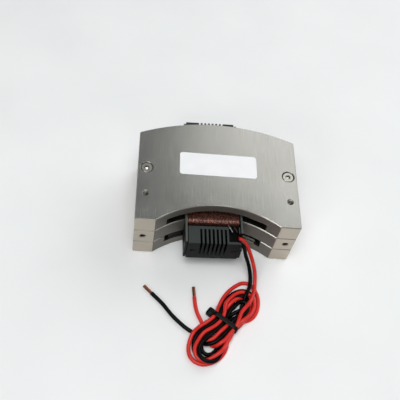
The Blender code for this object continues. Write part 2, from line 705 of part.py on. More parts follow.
def coil_leads(collection, axis, material):
    """The two ends of the winding, which cross to the potting and lie on it."""
    height = POTTING_TOP + SEAT_GAP + COIL_LEAD_DIAMETER / 2
    start = WINDING_FRONT - SEAT_GAP
    spare = COIL_LEAD_DIAMETER / 2 + SEAT_GAP
    first = LEAD_POCKET_LEFT + COIL_LEAD_TURN / 2 + spare
    last = LEAD_POCKET_RIGHT - COIL_LEAD_TURN - spare
    for x, label in ((first, "start"), (last, "finish")):
        route = [
            (x - COIL_LEAD_TURN, start, height - COIL_LEAD_TURN / 2),
            (x - COIL_LEAD_TURN / 2, start - COIL_LEAD_REACH / 4, height),
            (x, start - COIL_LEAD_REACH / 2, height),
            (x + COIL_LEAD_TURN, start - COIL_LEAD_REACH, height),
        ]
        points = smooth_route(route, 1.2 * COIL_LEAD_DIAMETER)
        place(tube(f"coil_lead_{label}", points, COIL_LEAD_DIAMETER), collection, material, axis)


def carrier_to_world(x, from_axis, height):
    """A point of the carrier, turned to its rest angle."""
    c = math.cos(REST_ANGLE)
    s = math.sin(REST_ANGLE)
    return (x * c - from_axis * s, x * s + from_axis * c - MEAN_RADIUS, height)


def wires(collection, axis, materials):
    """The stretches of the two lead wires that lie free, and their stripped ends."""
    potting_face = LEAD_POCKET_RIGHT - SEAT_GAP
    for name, from_axis, height, bend in (
        ("red_lead", RED_EXIT_FROM_AXIS, RED_EXIT_HEIGHT, RED_LEAD_BEND),
        ("black_lead", BLACK_EXIT_FROM_AXIS, BLACK_EXIT_HEIGHT, BLACK_LEAD_BEND),
    ):
        near = potting_face + SEAT_GAP
        stub = [Vector(carrier_to_world(x, from_axis, height)) for x in (near, near + WIRE_STUB)]
        points = stub + smooth_route(bend, POINT_SPACING)
        lead = tube(name, points, WIRE_DIAMETER)
        carry(place(lead, collection, materials[name.split("_")[0] + "_wire"]), axis)
    for color, route in (("red", RED_TAIL_ROUTE), ("black", BLACK_TAIL_ROUTE)):
        tail = tube(f"{color}_tail", smooth_route(route, POINT_SPACING), WIRE_DIAMETER)
        carry(place(tail, collection, materials[f"{color}_wire"]), axis)
        heading = (Vector(route[-1]) - Vector(route[-2])).normalized()
        first = Vector(route[-1]) + heading * SEAT_GAP
        strand = tube(f"{color}_strands", [first, first + heading * STRAND_LENGTH], STRAND_DIAMETER)
        carry(place(strand, collection, materials["copper"]), axis)


def hank_outline():
    """Outline of the hank in its own frame: two lobes and the waist where it is tied."""
    points = []
    for i in range(HANK_STEPS):
        angle = 2 * math.pi * i / HANK_STEPS
        half_width = HANK_WAIST + HANK_BULGE * math.cos(angle) ** 2
        points.append((HANK_HALF_LENGTH * math.cos(angle), half_width * math.sin(angle)))
    return points


def hank(collection, cutters, axis, materials):
    """The wound stretch of both wires as one body, and the tie round its waist."""
    stand = Matrix.Translation((*HANK_CENTRE, 0.0)) @ Matrix.Rotation(HANK_ANGLE, 4, "Z")
    coil = extruded("wire_hank", [hank_outline()], 0.0, HANK_HEIGHT, stand)
    place(coil, collection, materials["red_wire"])

    across = Matrix.Translation((TIE_SHIFT, 0.0, 0.0)) @ lengthwise()
    grip_low = (SEAT_GAP + TIE_PINCH - HANK_WAIST, TIE_THICKNESS + SEAT_GAP)
    grip_high = (HANK_WAIST - SEAT_GAP - TIE_PINCH, HANK_HEIGHT - SEAT_GAP)
    inner_low = (grip_low[0] - SEAT_GAP, TIE_THICKNESS)
    inner_high = (grip_high[0] + SEAT_GAP, HANK_HEIGHT)
    outer_low = (inner_low[0] - TIE_THICKNESS, 0.0)
    outer_high = (inner_high[0] + TIE_THICKNESS, HANK_HEIGHT + TIE_THICKNESS)
    beyond = (2 * HANK_WAIST, 2 * HANK_HEIGHT)
    groove_half = TIE_WIDTH / 2 + SEAT_GAP
    groove_loops = [
        [(-beyond[0], -beyond[1]), (beyond[0], -beyond[1]), (beyond[0], beyond[1]), (-beyond[0], beyond[1])],
        rounded_rectangle(grip_low, grip_high, TIE_INNER_CORNER),
    ]
    groove = extruded("tie_groove", groove_loops, -groove_half, groove_half, stand @ across)
    cut(coil, groove, cutters)

    strap_loops = [
        rounded_rectangle(outer_low, outer_high, TIE_INNER_CORNER + TIE_THICKNESS),
        rounded_rectangle(inner_low, inner_high, TIE_INNER_CORNER),
    ]
    tie = extruded("cable_tie", strap_loops, -TIE_WIDTH / 2, TIE_WIDTH / 2, stand @ across)
    place(tie, collection, materials["tie"])
    wide, deep, tall = TIE_HEAD
    head_near = outer_high[0] - TIE_THICKNESS / 2
    head_low = Vector((TIE_SHIFT - wide / 2, head_near, (HANK_HEIGHT - tall) / 2))
    head_high = head_low + Vector((wide, deep, tall))
    spare = Vector((SEAT_GAP, SEAT_GAP, SEAT_GAP))
    head = box("tie_head", head_low, head_high)
    recess = box("tie_head_recess", head_low - spare, head_high + spare)
    head.matrix_world = stand
    recess.matrix_world = stand
    cut(tie, head, cutters, "UNION")
    cut(coil, recess, cutters)
    for piece in (coil, tie, groove, head, recess):
        carry(piece, axis)


def build():
    """Model the whole motor."""
    clear_scene()
    collection = new_collection("rotary_voice_coil_motor")
    cutters = new_collection("cutters")
    materials = {
        "nickel": new_material("nickel_plated_steel", (0.56, 0.55, 0.51), 1.0, 0.38),
        "magnet": new_material("nickel_plated_magnet", (0.68, 0.67, 0.64), 1.0, 0.22),
        "steel": new_material("zinc_plated_screw", (0.60, 0.60, 0.58), 1.0, 0.30),
        "black": new_material("black_anodised", (0.028, 0.032, 0.032), 0.6, 0.45),
        "copper": new_material("enamelled_copper", (0.38, 0.12, 0.08), 0.7, 0.35),
        "potting": new_material("black_epoxy", (0.012, 0.012, 0.012), 0.0, 0.25),
        "red_wire": new_material("red_insulation", (0.72, 0.04, 0.03), 0.0, 0.40),
        "black_wire": new_material("black_insulation", (0.012, 0.013, 0.015), 0.0, 0.42),
        "tie": new_material("black_nylon", (0.015, 0.016, 0.017), 0.0, 0.35),
    }
    axis = bpy.data.objects.new("swing_axis", None)
    axis.location = (0.0, -MEAN_RADIUS, 0.0)
    axis.rotation_euler.z = REST_ANGLE
    collection.objects.link(axis)
    bpy.context.view_layer.update()

    yoke_stack(collection, cutters, materials["nickel"])
    magnets(collection, materials["magnet"])
    screws(collection, cutters, materials["steel"])
    dowels(collection, materials["steel"])
    bobbin(collection, cutters, axis, materials)
    blocks(collection, cutters, axis, materials["black"])
    potting(collection, axis, materials["potting"])
    coil_leads(collection, axis, materials["copper"])
    wires(collection, axis, materials)
    hank(collection, cutters, axis, materials)


build()
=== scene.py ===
"""Looks of a rotary voice coil motor: finishes, winding, leads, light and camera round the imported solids."""
import logging
import math
from dataclasses import dataclass
from enum import Enum

import bmesh
import bpy
import numpy as np
from bpy.types import Material, Node, NodeSocket, NodeTree, Object
from mathutils import Matrix, Vector


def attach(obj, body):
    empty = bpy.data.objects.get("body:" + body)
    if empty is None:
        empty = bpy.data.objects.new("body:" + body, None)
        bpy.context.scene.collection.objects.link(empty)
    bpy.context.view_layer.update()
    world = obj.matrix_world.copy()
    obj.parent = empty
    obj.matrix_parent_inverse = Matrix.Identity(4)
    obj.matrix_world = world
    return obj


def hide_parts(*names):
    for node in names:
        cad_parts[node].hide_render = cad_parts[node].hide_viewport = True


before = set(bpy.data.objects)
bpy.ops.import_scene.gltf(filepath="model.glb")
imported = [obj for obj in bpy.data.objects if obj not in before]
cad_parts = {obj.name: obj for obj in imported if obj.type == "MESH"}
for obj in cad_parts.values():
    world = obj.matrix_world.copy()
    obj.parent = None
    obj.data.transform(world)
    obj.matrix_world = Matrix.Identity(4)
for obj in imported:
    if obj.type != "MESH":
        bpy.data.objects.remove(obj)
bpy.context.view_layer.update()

log = logging.getLogger("motor")
MM = 0.001  # sizes are in millimetres, apart from those times MM or said to be in metres
IMAGE_SIDE = 400
SWING_AXIS = (0.0, -88.75)
REST_ANGLE = math.radians(1.5)
STACK_TOP = 38.1
SHARP_ANGLE = math.radians(35)
NOISE_SPAN = (0.3, 0.7)  # most of a noise texture's values lie between these
Feed = NodeSocket | float
Point = tuple[float, float, float]


class Body(Enum):
    """The two bodies of the motor."""

    STATOR = "stator"
    CARRIER = "coil_carrier"


def linear(code: str) -> tuple[float, float, float, float]:
    """Turn an sRGB hex colour into linear light.

    Args:
        code: six hex digits.

    Returns:
        Linear red, green, blue and an alpha of one.
    """
    parts = [int(code[i:i + 2], 16) / 255 for i in (0, 2, 4)]
    light = [c / 12.92 if c <= 0.04045 else ((c + 0.055) / 1.055) ** 2.4 for c in parts]
    return (*light, 1.0)


def add_node(tree: NodeTree, kind: str, inputs: dict | None = None, **settings: object) -> Node:
    """Add one node with its settings and links.

    Args:
        tree: the tree that gets the node.
        kind: the node's type name.
        inputs: a value or a feeding socket for each input, by name or number.
        settings: the node's own properties.

    Returns:
        The new node.
    """
    node = tree.nodes.new(kind)
    for name, value in settings.items():
        setattr(node, name, value)
    for name, value in (inputs or {}).items():
        if isinstance(value, NodeSocket):
            tree.links.new(value, node.inputs[name])
        else:
            node.inputs[name].default_value = value
    return node


def two_tones(tree: NodeTree, pattern: NodeSocket, dark: str, light: str, margin: float = 0.35) -> NodeSocket:
    """Colour a pattern from a dark tone to a light one.

    Args:
        tree: the material's tree.
        pattern: the socket of the pattern's value.
        dark: the sRGB hex colour of its low end.
        light: the sRGB hex colour of its high end.
        margin: how far from 0 and from 1 the plain tones lie.

    Returns:
        The colour's socket.
    """
    node = add_node(tree, "ShaderNodeValToRGB", {"Fac": pattern})
    for stop, place, code in zip(node.color_ramp.elements, (margin, 1 - margin), (dark, light)):
        stop.position = place
        stop.color = linear(code)
    return node.outputs["Color"]


def new_object(name: str, data: bpy.types.ID) -> Object:
    """Make an object and put it in the scene.

    Args:
        name: the object's name.
        data: its mesh, curve, camera or light.

    Returns:
        The new object.
    """
    obj = bpy.data.objects.new(name, data)
    bpy.context.collection.objects.link(obj)
    return obj


def moved(x: float, y: float, z: float = 0.0) -> Matrix:
    """The matrix of a move by millimetres."""
    return Matrix.Translation(Vector((x, y, z)) * MM)


class Growth:
    """A Geometry Nodes tree with named sizes, grown on some points into a plain mesh."""

    def __init__(self, name: str, sizes: dict[str, float | int]) -> None:
        """Open a tree with one input for each size.

        Args:
            name: the name of the tree and of the piece that it makes.
            sizes: a label and a value for each size, lengths in metres.
        """
        self.name = name
        self.sizes = sizes
        self.tree = bpy.data.node_groups.new(name, "GeometryNodeTree")
        self.tree.interface.new_socket("Points", in_out="INPUT", socket_type="NodeSocketGeometry")
        for label, value in sizes.items():
            kind = "NodeSocketInt" if isinstance(value, int) else "NodeSocketFloat"
            self.tree.interface.new_socket(label, in_out="INPUT", socket_type=kind)
        self.tree.interface.new_socket("Geometry", in_out="OUTPUT", socket_type="NodeSocketGeometry")
        self.source = self.node("NodeGroupInput")

    def node(self, kind: str, inputs: dict | None = None, **settings: object) -> Node:
        """Add one node to the tree, as add_node does."""
        return add_node(self.tree, kind, inputs, **settings)

    def size(self, label: str) -> NodeSocket:
        """The socket of one named size."""
        return self.source.outputs[label]

    def tube(self, path: NodeSocket, radius: Feed, sides: int) -> NodeSocket:
        """Sweep a round section along a curve.

        Args:
            path: the curve.
            radius: the section's radius, a socket or a number.
            sides: the section's number of sides.

        Returns:
            The socket of the swept mesh.
        """
        ring = self.node("GeometryNodeCurvePrimitiveCircle", {"Resolution": sides, "Radius": radius})
        return self.node("GeometryNodeCurveToMesh", {
            "Curve": path, "Profile Curve": ring.outputs["Curve"], "Fill Caps": True}).outputs["Mesh"]

    def ring_of(self, piece: NodeSocket, count: Feed, radius: Feed) -> NodeSocket:
        """Copy a piece round the Z axis.

        Args:
            piece: what is copied, made at the origin and facing +X.
            count: how many there are.
            radius: how far they stand from the axis.

        Returns:
            The socket of the copies.
        """
        spots = self.node("GeometryNodeMeshCircle", {"Vertices": count, "Radius": radius}, fill_type="NONE")
        share = self.node("ShaderNodeMath", {0: math.tau, 1: count}, operation="DIVIDE")
        turn = self.node("ShaderNodeMath", {
            0: self.node("GeometryNodeInputIndex").outputs[0], 1: share.outputs[0]}, operation="MULTIPLY")
        facing = self.node("ShaderNodeCombineXYZ", {"Z": turn.outputs[0]})
        return self.node("GeometryNodeInstanceOnPoints", {
            "Points": spots.outputs[0], "Instance": piece, "Rotation": facing.outputs[0]}).outputs[0]

    def join(self, *pieces: NodeSocket) -> NodeSocket:
        """Join pieces into one geometry.

        Args:
            pieces: their sockets.

        Returns:
            The socket of them all.
        """
        joined = self.node("GeometryNodeJoinGeometry")
        for piece in pieces:
            self.tree.links.new(piece, joined.inputs[0])
        return joined.outputs[0]

    def on_points(self, piece: NodeSocket) -> NodeSocket:
        """Stand a copy of a piece on each point, turned as the point's attribute says.

        Args:
            piece: what is copied.

        Returns:
            The socket of the copies.
        """
        turn = self.node("GeometryNodeInputNamedAttribute", {"Name": "turn"}, data_type="FLOAT_VECTOR")
        return self.node("GeometryNodeInstanceOnPoints", {
            "Points": self.source.outputs["Points"], "Instance": piece,
            "Rotation": turn.outputs["Attribute"]}).outputs[0]

    def grow(self, geometry: NodeSocket, material: Material, body: Body,
             places: list[Matrix], slot: str, smooth: bool = True) -> Object:
        """Close the tree, grow it and keep the result as a plain mesh.

        Args:
            geometry: the finished geometry's socket.
            material: its finish.
            body: the body that it rides on.
            places: where the copies stand, in metres.
            slot: the name of the record's finish slot; not used.
            smooth: whether its faces are shaded smooth.

        Returns:
            The finished object.
        """
        solid = self.node("GeometryNodeRealizeInstances", {"Geometry": geometry})
        shaded = self.node("GeometryNodeSetShadeSmooth", {
            "Geometry": solid.outputs[0], "Shade Smooth": smooth})
        dressed = self.node("GeometryNodeSetMaterial", {
            "Geometry": shaded.outputs[0], "Material": material})
        self.node("NodeGroupOutput", {"Geometry": dressed.outputs[0]})
        points = bpy.data.meshes.new(self.name + "_points")
        points.from_pydata([place.translation for place in places], [], [])
        turns = points.attributes.new("turn", "FLOAT_VECTOR", "POINT")
        for entry, place in zip(turns.data, places):
            entry.vector = place.to_euler()
        seed = new_object(self.name, points)
        modifier = seed.modifiers.new("grow", "NODES")
        modifier.node_group = self.tree
        for socket in self.tree.interface.items_tree:
            if socket.in_out == "INPUT" and socket.name in self.sizes:
                modifier[socket.identifier] = self.sizes[socket.name]
        bpy.context.view_layer.update()
        mesh = bpy.data.meshes.new_from_object(seed.evaluated_get(bpy.context.evaluated_depsgraph_get()))
        seed.modifiers.remove(modifier)
        seed.data = mesh
        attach(seed, body.value)
        log.info("%s: %d faces", self.name, len(mesh.polygons))
        return seed


class Finish:
    """What all finishes share: a named material with one Principled shader."""

    name: str

    def build(self) -> Material:
        """Build the material.

        Returns:
            The new material.
        """
        material = bpy.data.materials.new(self.name)
        material.use_nodes = True
        tree = material.node_tree
        tree.nodes.clear()
        shader = add_node(tree, "ShaderNodeBsdfPrincipled", self.inputs(tree))
        add_node(tree, "ShaderNodeOutputMaterial", {"Surface": shader.outputs["BSDF"]})
        return material


@dataclass(frozen=True)
class GroundNickelSteel(Finish):
    """Ground steel under electroless nickel: a satin grey whose fine grain runs one way."""

    name: str = "ground_steel_nickel_plated"
    face: tuple[str, str] = ("8c8b86", "a3a29c")
    edge: tuple[str, str] = ("b5ac9f", "c5bcae")  # painted light: faces that don't look up get a lighter, warmer tone than the top, in place of the light they take from the bright floor in front
    arc: tuple[str, str] = ("6b6760", "7b7770")  # the arcs were cut by wire, so they are a little matt; their darker tone is painted shade from the shadow they lie in and the dark parts they reflect
    arc_metallic: float = 0.6
    arcs: tuple[float, float] = (59.0 * MM, 118.5 * MM)
    arc_margin: float = 0.15 * MM
    grain_width: float = 0.3 * MM  # the real grit is finer, and this shows as lines in the render
    grain_length: float = 16 * MM
    cloud_size: float = 22 * MM
    cloud_share: float = 0.45
    roughness: float = 0.25
    side_roughness: float = 0.46
    roughness_range: float = 0.16
    grain_strength: float = 0.5
    grain_depth: float = 0.02 * MM

    def inputs(self, tree: NodeTree) -> dict[str, Feed]:
        """Work out what feeds the shader.

        Args:
            tree: the material's tree.

        Returns:
            A value or a socket for each of the shader's inputs.
        """
        coordinates = add_node(tree, "ShaderNodeTexCoord")
        place = coordinates.outputs["Object"]
        grain_scale = (1 / self.grain_width, 1 / self.grain_length, 1 / self.grain_width)
        stretched = add_node(tree, "ShaderNodeMapping", {"Vector": place, "Scale": grain_scale})
        grain = add_node(tree, "ShaderNodeTexNoise", {
            "Vector": stretched.outputs[0], "Scale": 1.0, "Detail": 3.0}).outputs["Fac"]
        cloud = add_node(tree, "ShaderNodeTexNoise", {
            "Vector": place, "Scale": 1 / self.cloud_size, "Detail": 4.0}).outputs["Fac"]
        mixed = add_node(tree, "ShaderNodeMix", {0: self.cloud_share, 2: grain, 3: cloud}).outputs[0]
        face, edge, arc = (two_tones(tree, mixed, *tones, NOISE_SPAN[0])
                           for tones in (self.face, self.edge, self.arc))
        facing = add_node(tree, "ShaderNodeSeparateXYZ", {0: coordinates.outputs["Normal"]})
        upright = add_node(tree, "ShaderNodeMath", {0: facing.outputs["Z"]}, operation="ABSOLUTE").outputs[0]
        on_arc = self.on_arc(tree, place)
        # Painted shade: the arcs take the darker arc tone, which stands in for the shade they sit in.
        side = add_node(tree, "ShaderNodeMix", {0: on_arc, 6: edge, 7: arc}, data_type="RGBA")
        # Painted light: faces that turn from the vertical take the lighter edge tone, which stands in for the
        # floor's light on them.
        tone = add_node(tree, "ShaderNodeMix", {0: upright, 6: side.outputs[2], 7: face}, data_type="RGBA")
        half = self.roughness_range / 2
        least = add_node(tree, "ShaderNodeMapRange", {
            "Value": upright, "To Min": self.side_roughness - half, "To Max": self.roughness - half})
        rough = add_node(tree, "ShaderNodeMath", {
            0: mixed, 1: self.roughness_range, 2: least.outputs[0]}, operation="MULTIPLY_ADD")
        bump = add_node(tree, "ShaderNodeBump", {
            "Height": grain, "Strength": self.grain_strength, "Distance": self.grain_depth})
        metal = add_node(tree, "ShaderNodeMapRange", {
            "Value": on_arc, "To Min": 1.0, "To Max": self.arc_metallic})
        return {"Base Color": tone.outputs[2], "Metallic": metal.outputs[0], "Roughness": rough.outputs[0],
                "Normal": bump.outputs[0]}

    def on_arc(self, tree: NodeTree, place: NodeSocket) -> NodeSocket:
        """Tell the wire-cut arcs from the rest by their distance from the swing axis.

        Args:
            tree: the material's tree.
            place: the point on the plate.

        Returns:
            A socket that is 1 on an arc and 0 elsewhere.
        """
        flat = add_node(tree, "ShaderNodeVectorMath", {0: place, 1: (1.0, 1.0, 0.0)}, operation="MULTIPLY")
        axis = (SWING_AXIS[0] * MM, SWING_AXIS[1] * MM, 0.0)
        away = add_node(tree, "ShaderNodeVectorMath", {0: flat.outputs[0], 1: axis}, operation="DISTANCE")
        near = [add_node(tree, "ShaderNodeMath", {0: away.outputs["Value"], 1: radius, 2: self.arc_margin},
                         operation="COMPARE").outputs[0] for radius in self.arcs]
        return add_node(tree, "ShaderNodeMath", {0: near[0], 1: near[1]}, operation="MAXIMUM").outputs[0]


@dataclass(frozen=True)
class PlainFinish(Finish):
    """A moulded, plated, dyed or painted surface: one tone that varies a little over a fine texture."""

    name: str
    dark: str
    light: str
    roughness: float
    grain: float
    metallic: float = 0.0
    bump: float = 0.1
    relief: float = 0.01 * MM
    coat: float = 0.0
    specular: float = 0.5
    variation: float = 0.12  # of the roughness

    def inputs(self, tree: NodeTree) -> dict[str, Feed]:
        """Work out what feeds the shader.

        Args:
            tree: the material's tree.

        Returns:
            A value or a socket for each of the shader's inputs.
        """
        noise = add_node(tree, "ShaderNodeTexNoise", {
            "Vector": add_node(tree, "ShaderNodeTexCoord").outputs["Object"], "Scale": 1 / self.grain,
            "Detail": 3.0}).outputs["Fac"]
        rough = add_node(tree, "ShaderNodeMapRange", {
            "Value": noise, "From Min": NOISE_SPAN[0], "From Max": NOISE_SPAN[1],
            "To Min": self.roughness * (1 - self.variation), "To Max": self.roughness * (1 + self.variation)})
        bump = add_node(tree, "ShaderNodeBump", {
            "Height": noise, "Strength": self.bump, "Distance": self.relief})
        return {"Base Color": two_tones(tree, noise, self.dark, self.light), "Metallic": self.metallic,
                "Roughness": rough.outputs[0], "Specular IOR Level": self.specular,
                "Coat Weight": self.coat, "Normal": bump.outputs[0]}


@dataclass(frozen=True)
class AnodisedAluminium(Finish):
    """Black anodised aluminium with a fine blasted grain; its upward faces take a lighter tone than the sides,
    painted light from above.
    """

    name: str = "black_anodised_aluminium"
    side: tuple[str, str] = ("090b0b", "101414")
    top: tuple[str, str] = ("373c3a", "424846")
    roughness: float = 0.42
    grain: float = 0.35 * MM
    specular: float = 0.07
    falloff: float = 2.0  # how soon the painted light of the top's tone gives way as the surface turns from the vertical
    bump: float = 0.25
    relief: float = 0.01 * MM

    def inputs(self, tree: NodeTree) -> dict[str, Feed]:
        """Work out what feeds the shader.

        Args:
            tree: the material's tree.

        Returns:
            A value or a socket for each of the shader's inputs.
        """
        place = add_node(tree, "ShaderNodeTexCoord")
        noise = add_node(tree, "ShaderNodeTexNoise", {
            "Vector": place.outputs["Object"], "Scale": 1 / self.grain, "Detail": 3.0}).outputs["Fac"]
        side, top = (two_tones(tree, noise, *tones) for tones in (self.side, self.top))
        facing = add_node(tree, "ShaderNodeSeparateXYZ", {0: place.outputs["Normal"]})
        # Painted light: faces that look up get the lighter top tone, and the sides the darker side tone.
        lit_top_mask = add_node(tree, "ShaderNodeMath", {
            0: facing.outputs["Z"], 1: self.falloff}, operation="POWER", use_clamp=True)
        tone = add_node(tree, "ShaderNodeMix", {0: lit_top_mask.outputs[0], 6: side, 7: top}, data_type="RGBA")
        bump = add_node(tree, "ShaderNodeBump", {
            "Height": noise, "Strength": self.bump, "Distance": self.relief})
        return {"Base Color": tone.outputs[2], "Roughness": self.roughness,
                "Specular IOR Level": self.specular, "Normal": bump.outputs[0]}


GROUND_STEEL = GroundNickelSteel()
# Sintered magnets under bright nickel, which mirror what is round them.
BRIGHT_NICKEL = PlainFinish("bright_nickel_plate", "4c4a45", "6a6760", 0.2, 1.2 * MM, metallic=1.0, bump=0.05)
# Stainless steel screws, cold headed, with a soft shine.
STAINLESS = PlainFinish("stainless_steel", "98978f", "b3b2aa", 0.31, 0.5 * MM, metallic=1.0)
# Tapped steel for the front holes' threads: a dark tone, painted shade inside the holes.
HOLE_SHADE_STEEL = PlainFinish("tapped_steel_painted_shade", "35332f", "4a4741", 0.34, 0.5 * MM, metallic=1.0)
ANODISED = AnodisedAluminium()
# The former's flanges, with a lighter tone on their upward faces: painted light along their top edges.
FLANGE = AnodisedAluminium("black_anodised_flange", top=("4e524e", "5e625d"))
# Copper wire under polyurethane enamel: pink brown under a clear coat.
ENAMELLED = PlainFinish("enamelled_copper_wire", "64392f", "96675b", 0.28, 1.1 * MM, metallic=0.75, coat=0.6)
# The winding's ends: one in a light grey metal tone, a painted highlight along its dark lead, and one still
# under its dark enamel.
LEAD_HIGHLIGHT_GREY = PlainFinish("lead_wire_painted_highlight", "8f8d8a", "b5b3af", 0.3, 0.8 * MM, metallic=0.9)
DARK_ENAMEL = PlainFinish("dark_enamelled_wire", "150f0d", "241915", 0.3, 0.8 * MM, coat=0.3)
# Black epoxy, poured and set: glossy, with a wavy surface.
EPOXY = PlainFinish("black_epoxy", "020202", "040404", 0.4, 1.8 * MM, bump=0.3, relief=0.05 * MM,
                    specular=0.05)
# Red and black PVC insulation, extruded: smooth with a soft gloss.
RED_PVC = PlainFinish("red_pvc_insulation", "cf261f", "dc322a", 0.36, 3.0 * MM, specular=0.35)
BLACK_PVC = PlainFinish("black_pvc_insulation", "010102", "030304", 0.38, 3.0 * MM, specular=0.09)
# Bare copper, stripped and handled, so it has gone brown.
BARE_COPPER = PlainFinish("bare_copper", "6a412e", "96634a", 0.35, 0.6 * MM, metallic=1.0)
# White polyester film with a satin top coat.
STICKER_FILM = PlainFinish("white_polyester_film", "f4f6f8", "f8fafb", 0.32, 8.0 * MM, bump=0.02)
# Black nylon, moulded, with a light grain.
BLACK_NYLON = PlainFinish("black_nylon", "030303", "070708", 0.38, 0.3 * MM, bump=0.2, specular=0.14)
# White board under the object, matt and even.
PALE_BOARD = PlainFinish("pale_board", "f6f8f8", "fafcfc", 0.7, 60 * MM, bump=0.0)


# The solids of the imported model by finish.
DRESSED = {
    GROUND_STEEL: "upper_yoke_plate centre_yoke_plate lower_yoke_plate",
    BRIGHT_NICKEL: "upper_magnet_left upper_magnet_right lower_magnet_left lower_magnet_right",
    STAINLESS: "yoke_screw_left yoke_screw_right dowel_pin_left dowel_pin_right",
    ANODISED: "bobbin_core front_finned_block rear_finned_block",
    FLANGE: "bobbin_flange_left bobbin_flange_right",
    LEAD_HIGHLIGHT_GREY: "coil_lead_start",
    DARK_ENAMEL: "coil_lead_finish",
}


def carrier_place(across: float, from_axis: float, height: float) -> Matrix:
    """Where a point of the coil carrier lies at rest.

    Args:
        across: millimetres to the right of the carrier's middle.
        from_axis: millimetres from the swing axis.
        height: millimetres above the floor.

    Returns:
        The place and turn, in metres.
    """
    return moved(*SWING_AXIS) @ Matrix.Rotation(REST_ANGLE, 4, "Z") @ moved(across, from_axis, height)


def rounded_rectangle(half_wide: float, half_tall: float, corner: float,
                      steps: int = 6) -> list[tuple[float, float]]:
    """Points of a rectangle with round corners about the origin.

    Args:
        half_wide: half its width.
        half_tall: half its height.
        corner: the radius of its corners.
        steps: how many steps go round each corner.

    Returns:
        Its points, anticlockwise.
    """
    points = []
    for side, rise, start in ((1, 1, 0), (-1, 1, 1), (-1, -1, 2), (1, -1, 3)):
        for i in range(steps + 1):
            angle = math.pi / 2 * (start + i / steps)
            points.append((side * (half_wide - corner) + corner * math.cos(angle),
                           rise * (half_tall - corner) + corner * math.sin(angle)))
    return points


def mesh_piece(name: str, bm: bmesh.types.BMesh, material: Material, body: Body) -> Object:
    """Turn a built mesh into a finished piece.

    Args:
        name: the piece's name.
        bm: its mesh, in metres and in place.
        material: its finish.
        body: the body that it rides on.

    Returns:
        The finished object.
    """
    bmesh.ops.recalc_face_normals(bm, faces=bm.faces)
    mesh = bpy.data.meshes.new(name)
    bm.to_mesh(mesh)
    bm.free()
    mesh.shade_smooth()
    mesh.set_sharp_from_angle(angle=SHARP_ANGLE)
    mesh.materials.append(material)
    obj = new_object(name, mesh)
    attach(obj, body.value)
    log.info("%s: %d faces", name, len(mesh.polygons))
    return obj


@dataclass(frozen=True)
class HalfTurn:
    """Half a turn of a wire: from the waist round one lobe of the hank and back, in millimetres."""

    slot: tuple[float, float]
    reach: float
    out: float
    back: float
    tip: float
    heights: tuple[float, float, float]
    cap_by_width: float = 1.35  # the round part's length, in half widths of the lobe
    cap_by_reach: float = 0.6  # and at most this share of its reach

    def points(self, steps: int, sweep: float) -> list[tuple[float, float, float]]:
        """Work out the points of the half turn.

        Args:
            steps: how many steps go round the lobe.
            sweep: the angle from the tip at which the round part starts and ends.

        Returns:
            Points in the hank's frame.
        """
        side = 1 if self.reach > 0 else -1
        width = (abs(self.out - self.tip) + abs(self.back - self.tip)) / 2
        cap = min(self.cap_by_width * width, self.cap_by_reach * abs(self.reach))
        line = [(0.0, *self.slot)]
        for i in range(steps + 1):
            angle = sweep - 2 * sweep * i / steps
            edge, height = (self.out, self.heights[0]) if angle > 0 else (self.back, self.heights[2])
            u = side * (abs(self.reach) - cap + cap * math.cos(angle))
            v = self.tip + (edge - self.tip) * abs(math.sin(angle))
            z = self.heights[1] + (height - self.heights[1]) * math.sin(angle) ** 2
            line.append((u, v, z))
        return line


@dataclass(frozen=True)
class Lead:
    """One lead wire: its free start and its tail in metres in the stack's frame, and its turns in
    millimetres in the hank's frame."""

    bend: tuple[Point, ...]
    onto: tuple[Point, ...]
    turns: tuple[HalfTurn, ...]
    last_slot: tuple[float, float]
    off: tuple[Point, ...]
    tail: tuple[Point, ...]


def cord_curve(name: str, points: np.ndarray, wire: float, material: Material) -> Object:
    """Make one lead as a curve with a round section.

    Args:
        name: the piece's name.
        points: the centreline in millimetres.
        wire: the diameter in millimetres.
        material: the insulation.

    Returns:
        The curve object.
    """
    curve = bpy.data.curves.new(name, "CURVE")
    curve.dimensions = "3D"
    curve.bevel_depth = wire / 2 * MM
    curve.bevel_resolution = 4
    curve.use_fill_caps = True
    spline = curve.splines.new("POLY")
    spline.points.add(len(points) - 1)
    for target, point in zip(spline.points, points):
        target.co = (*(point * MM), 1.0)
    spline.use_smooth = True
    curve.materials.append(material)
    return new_object(name, curve)


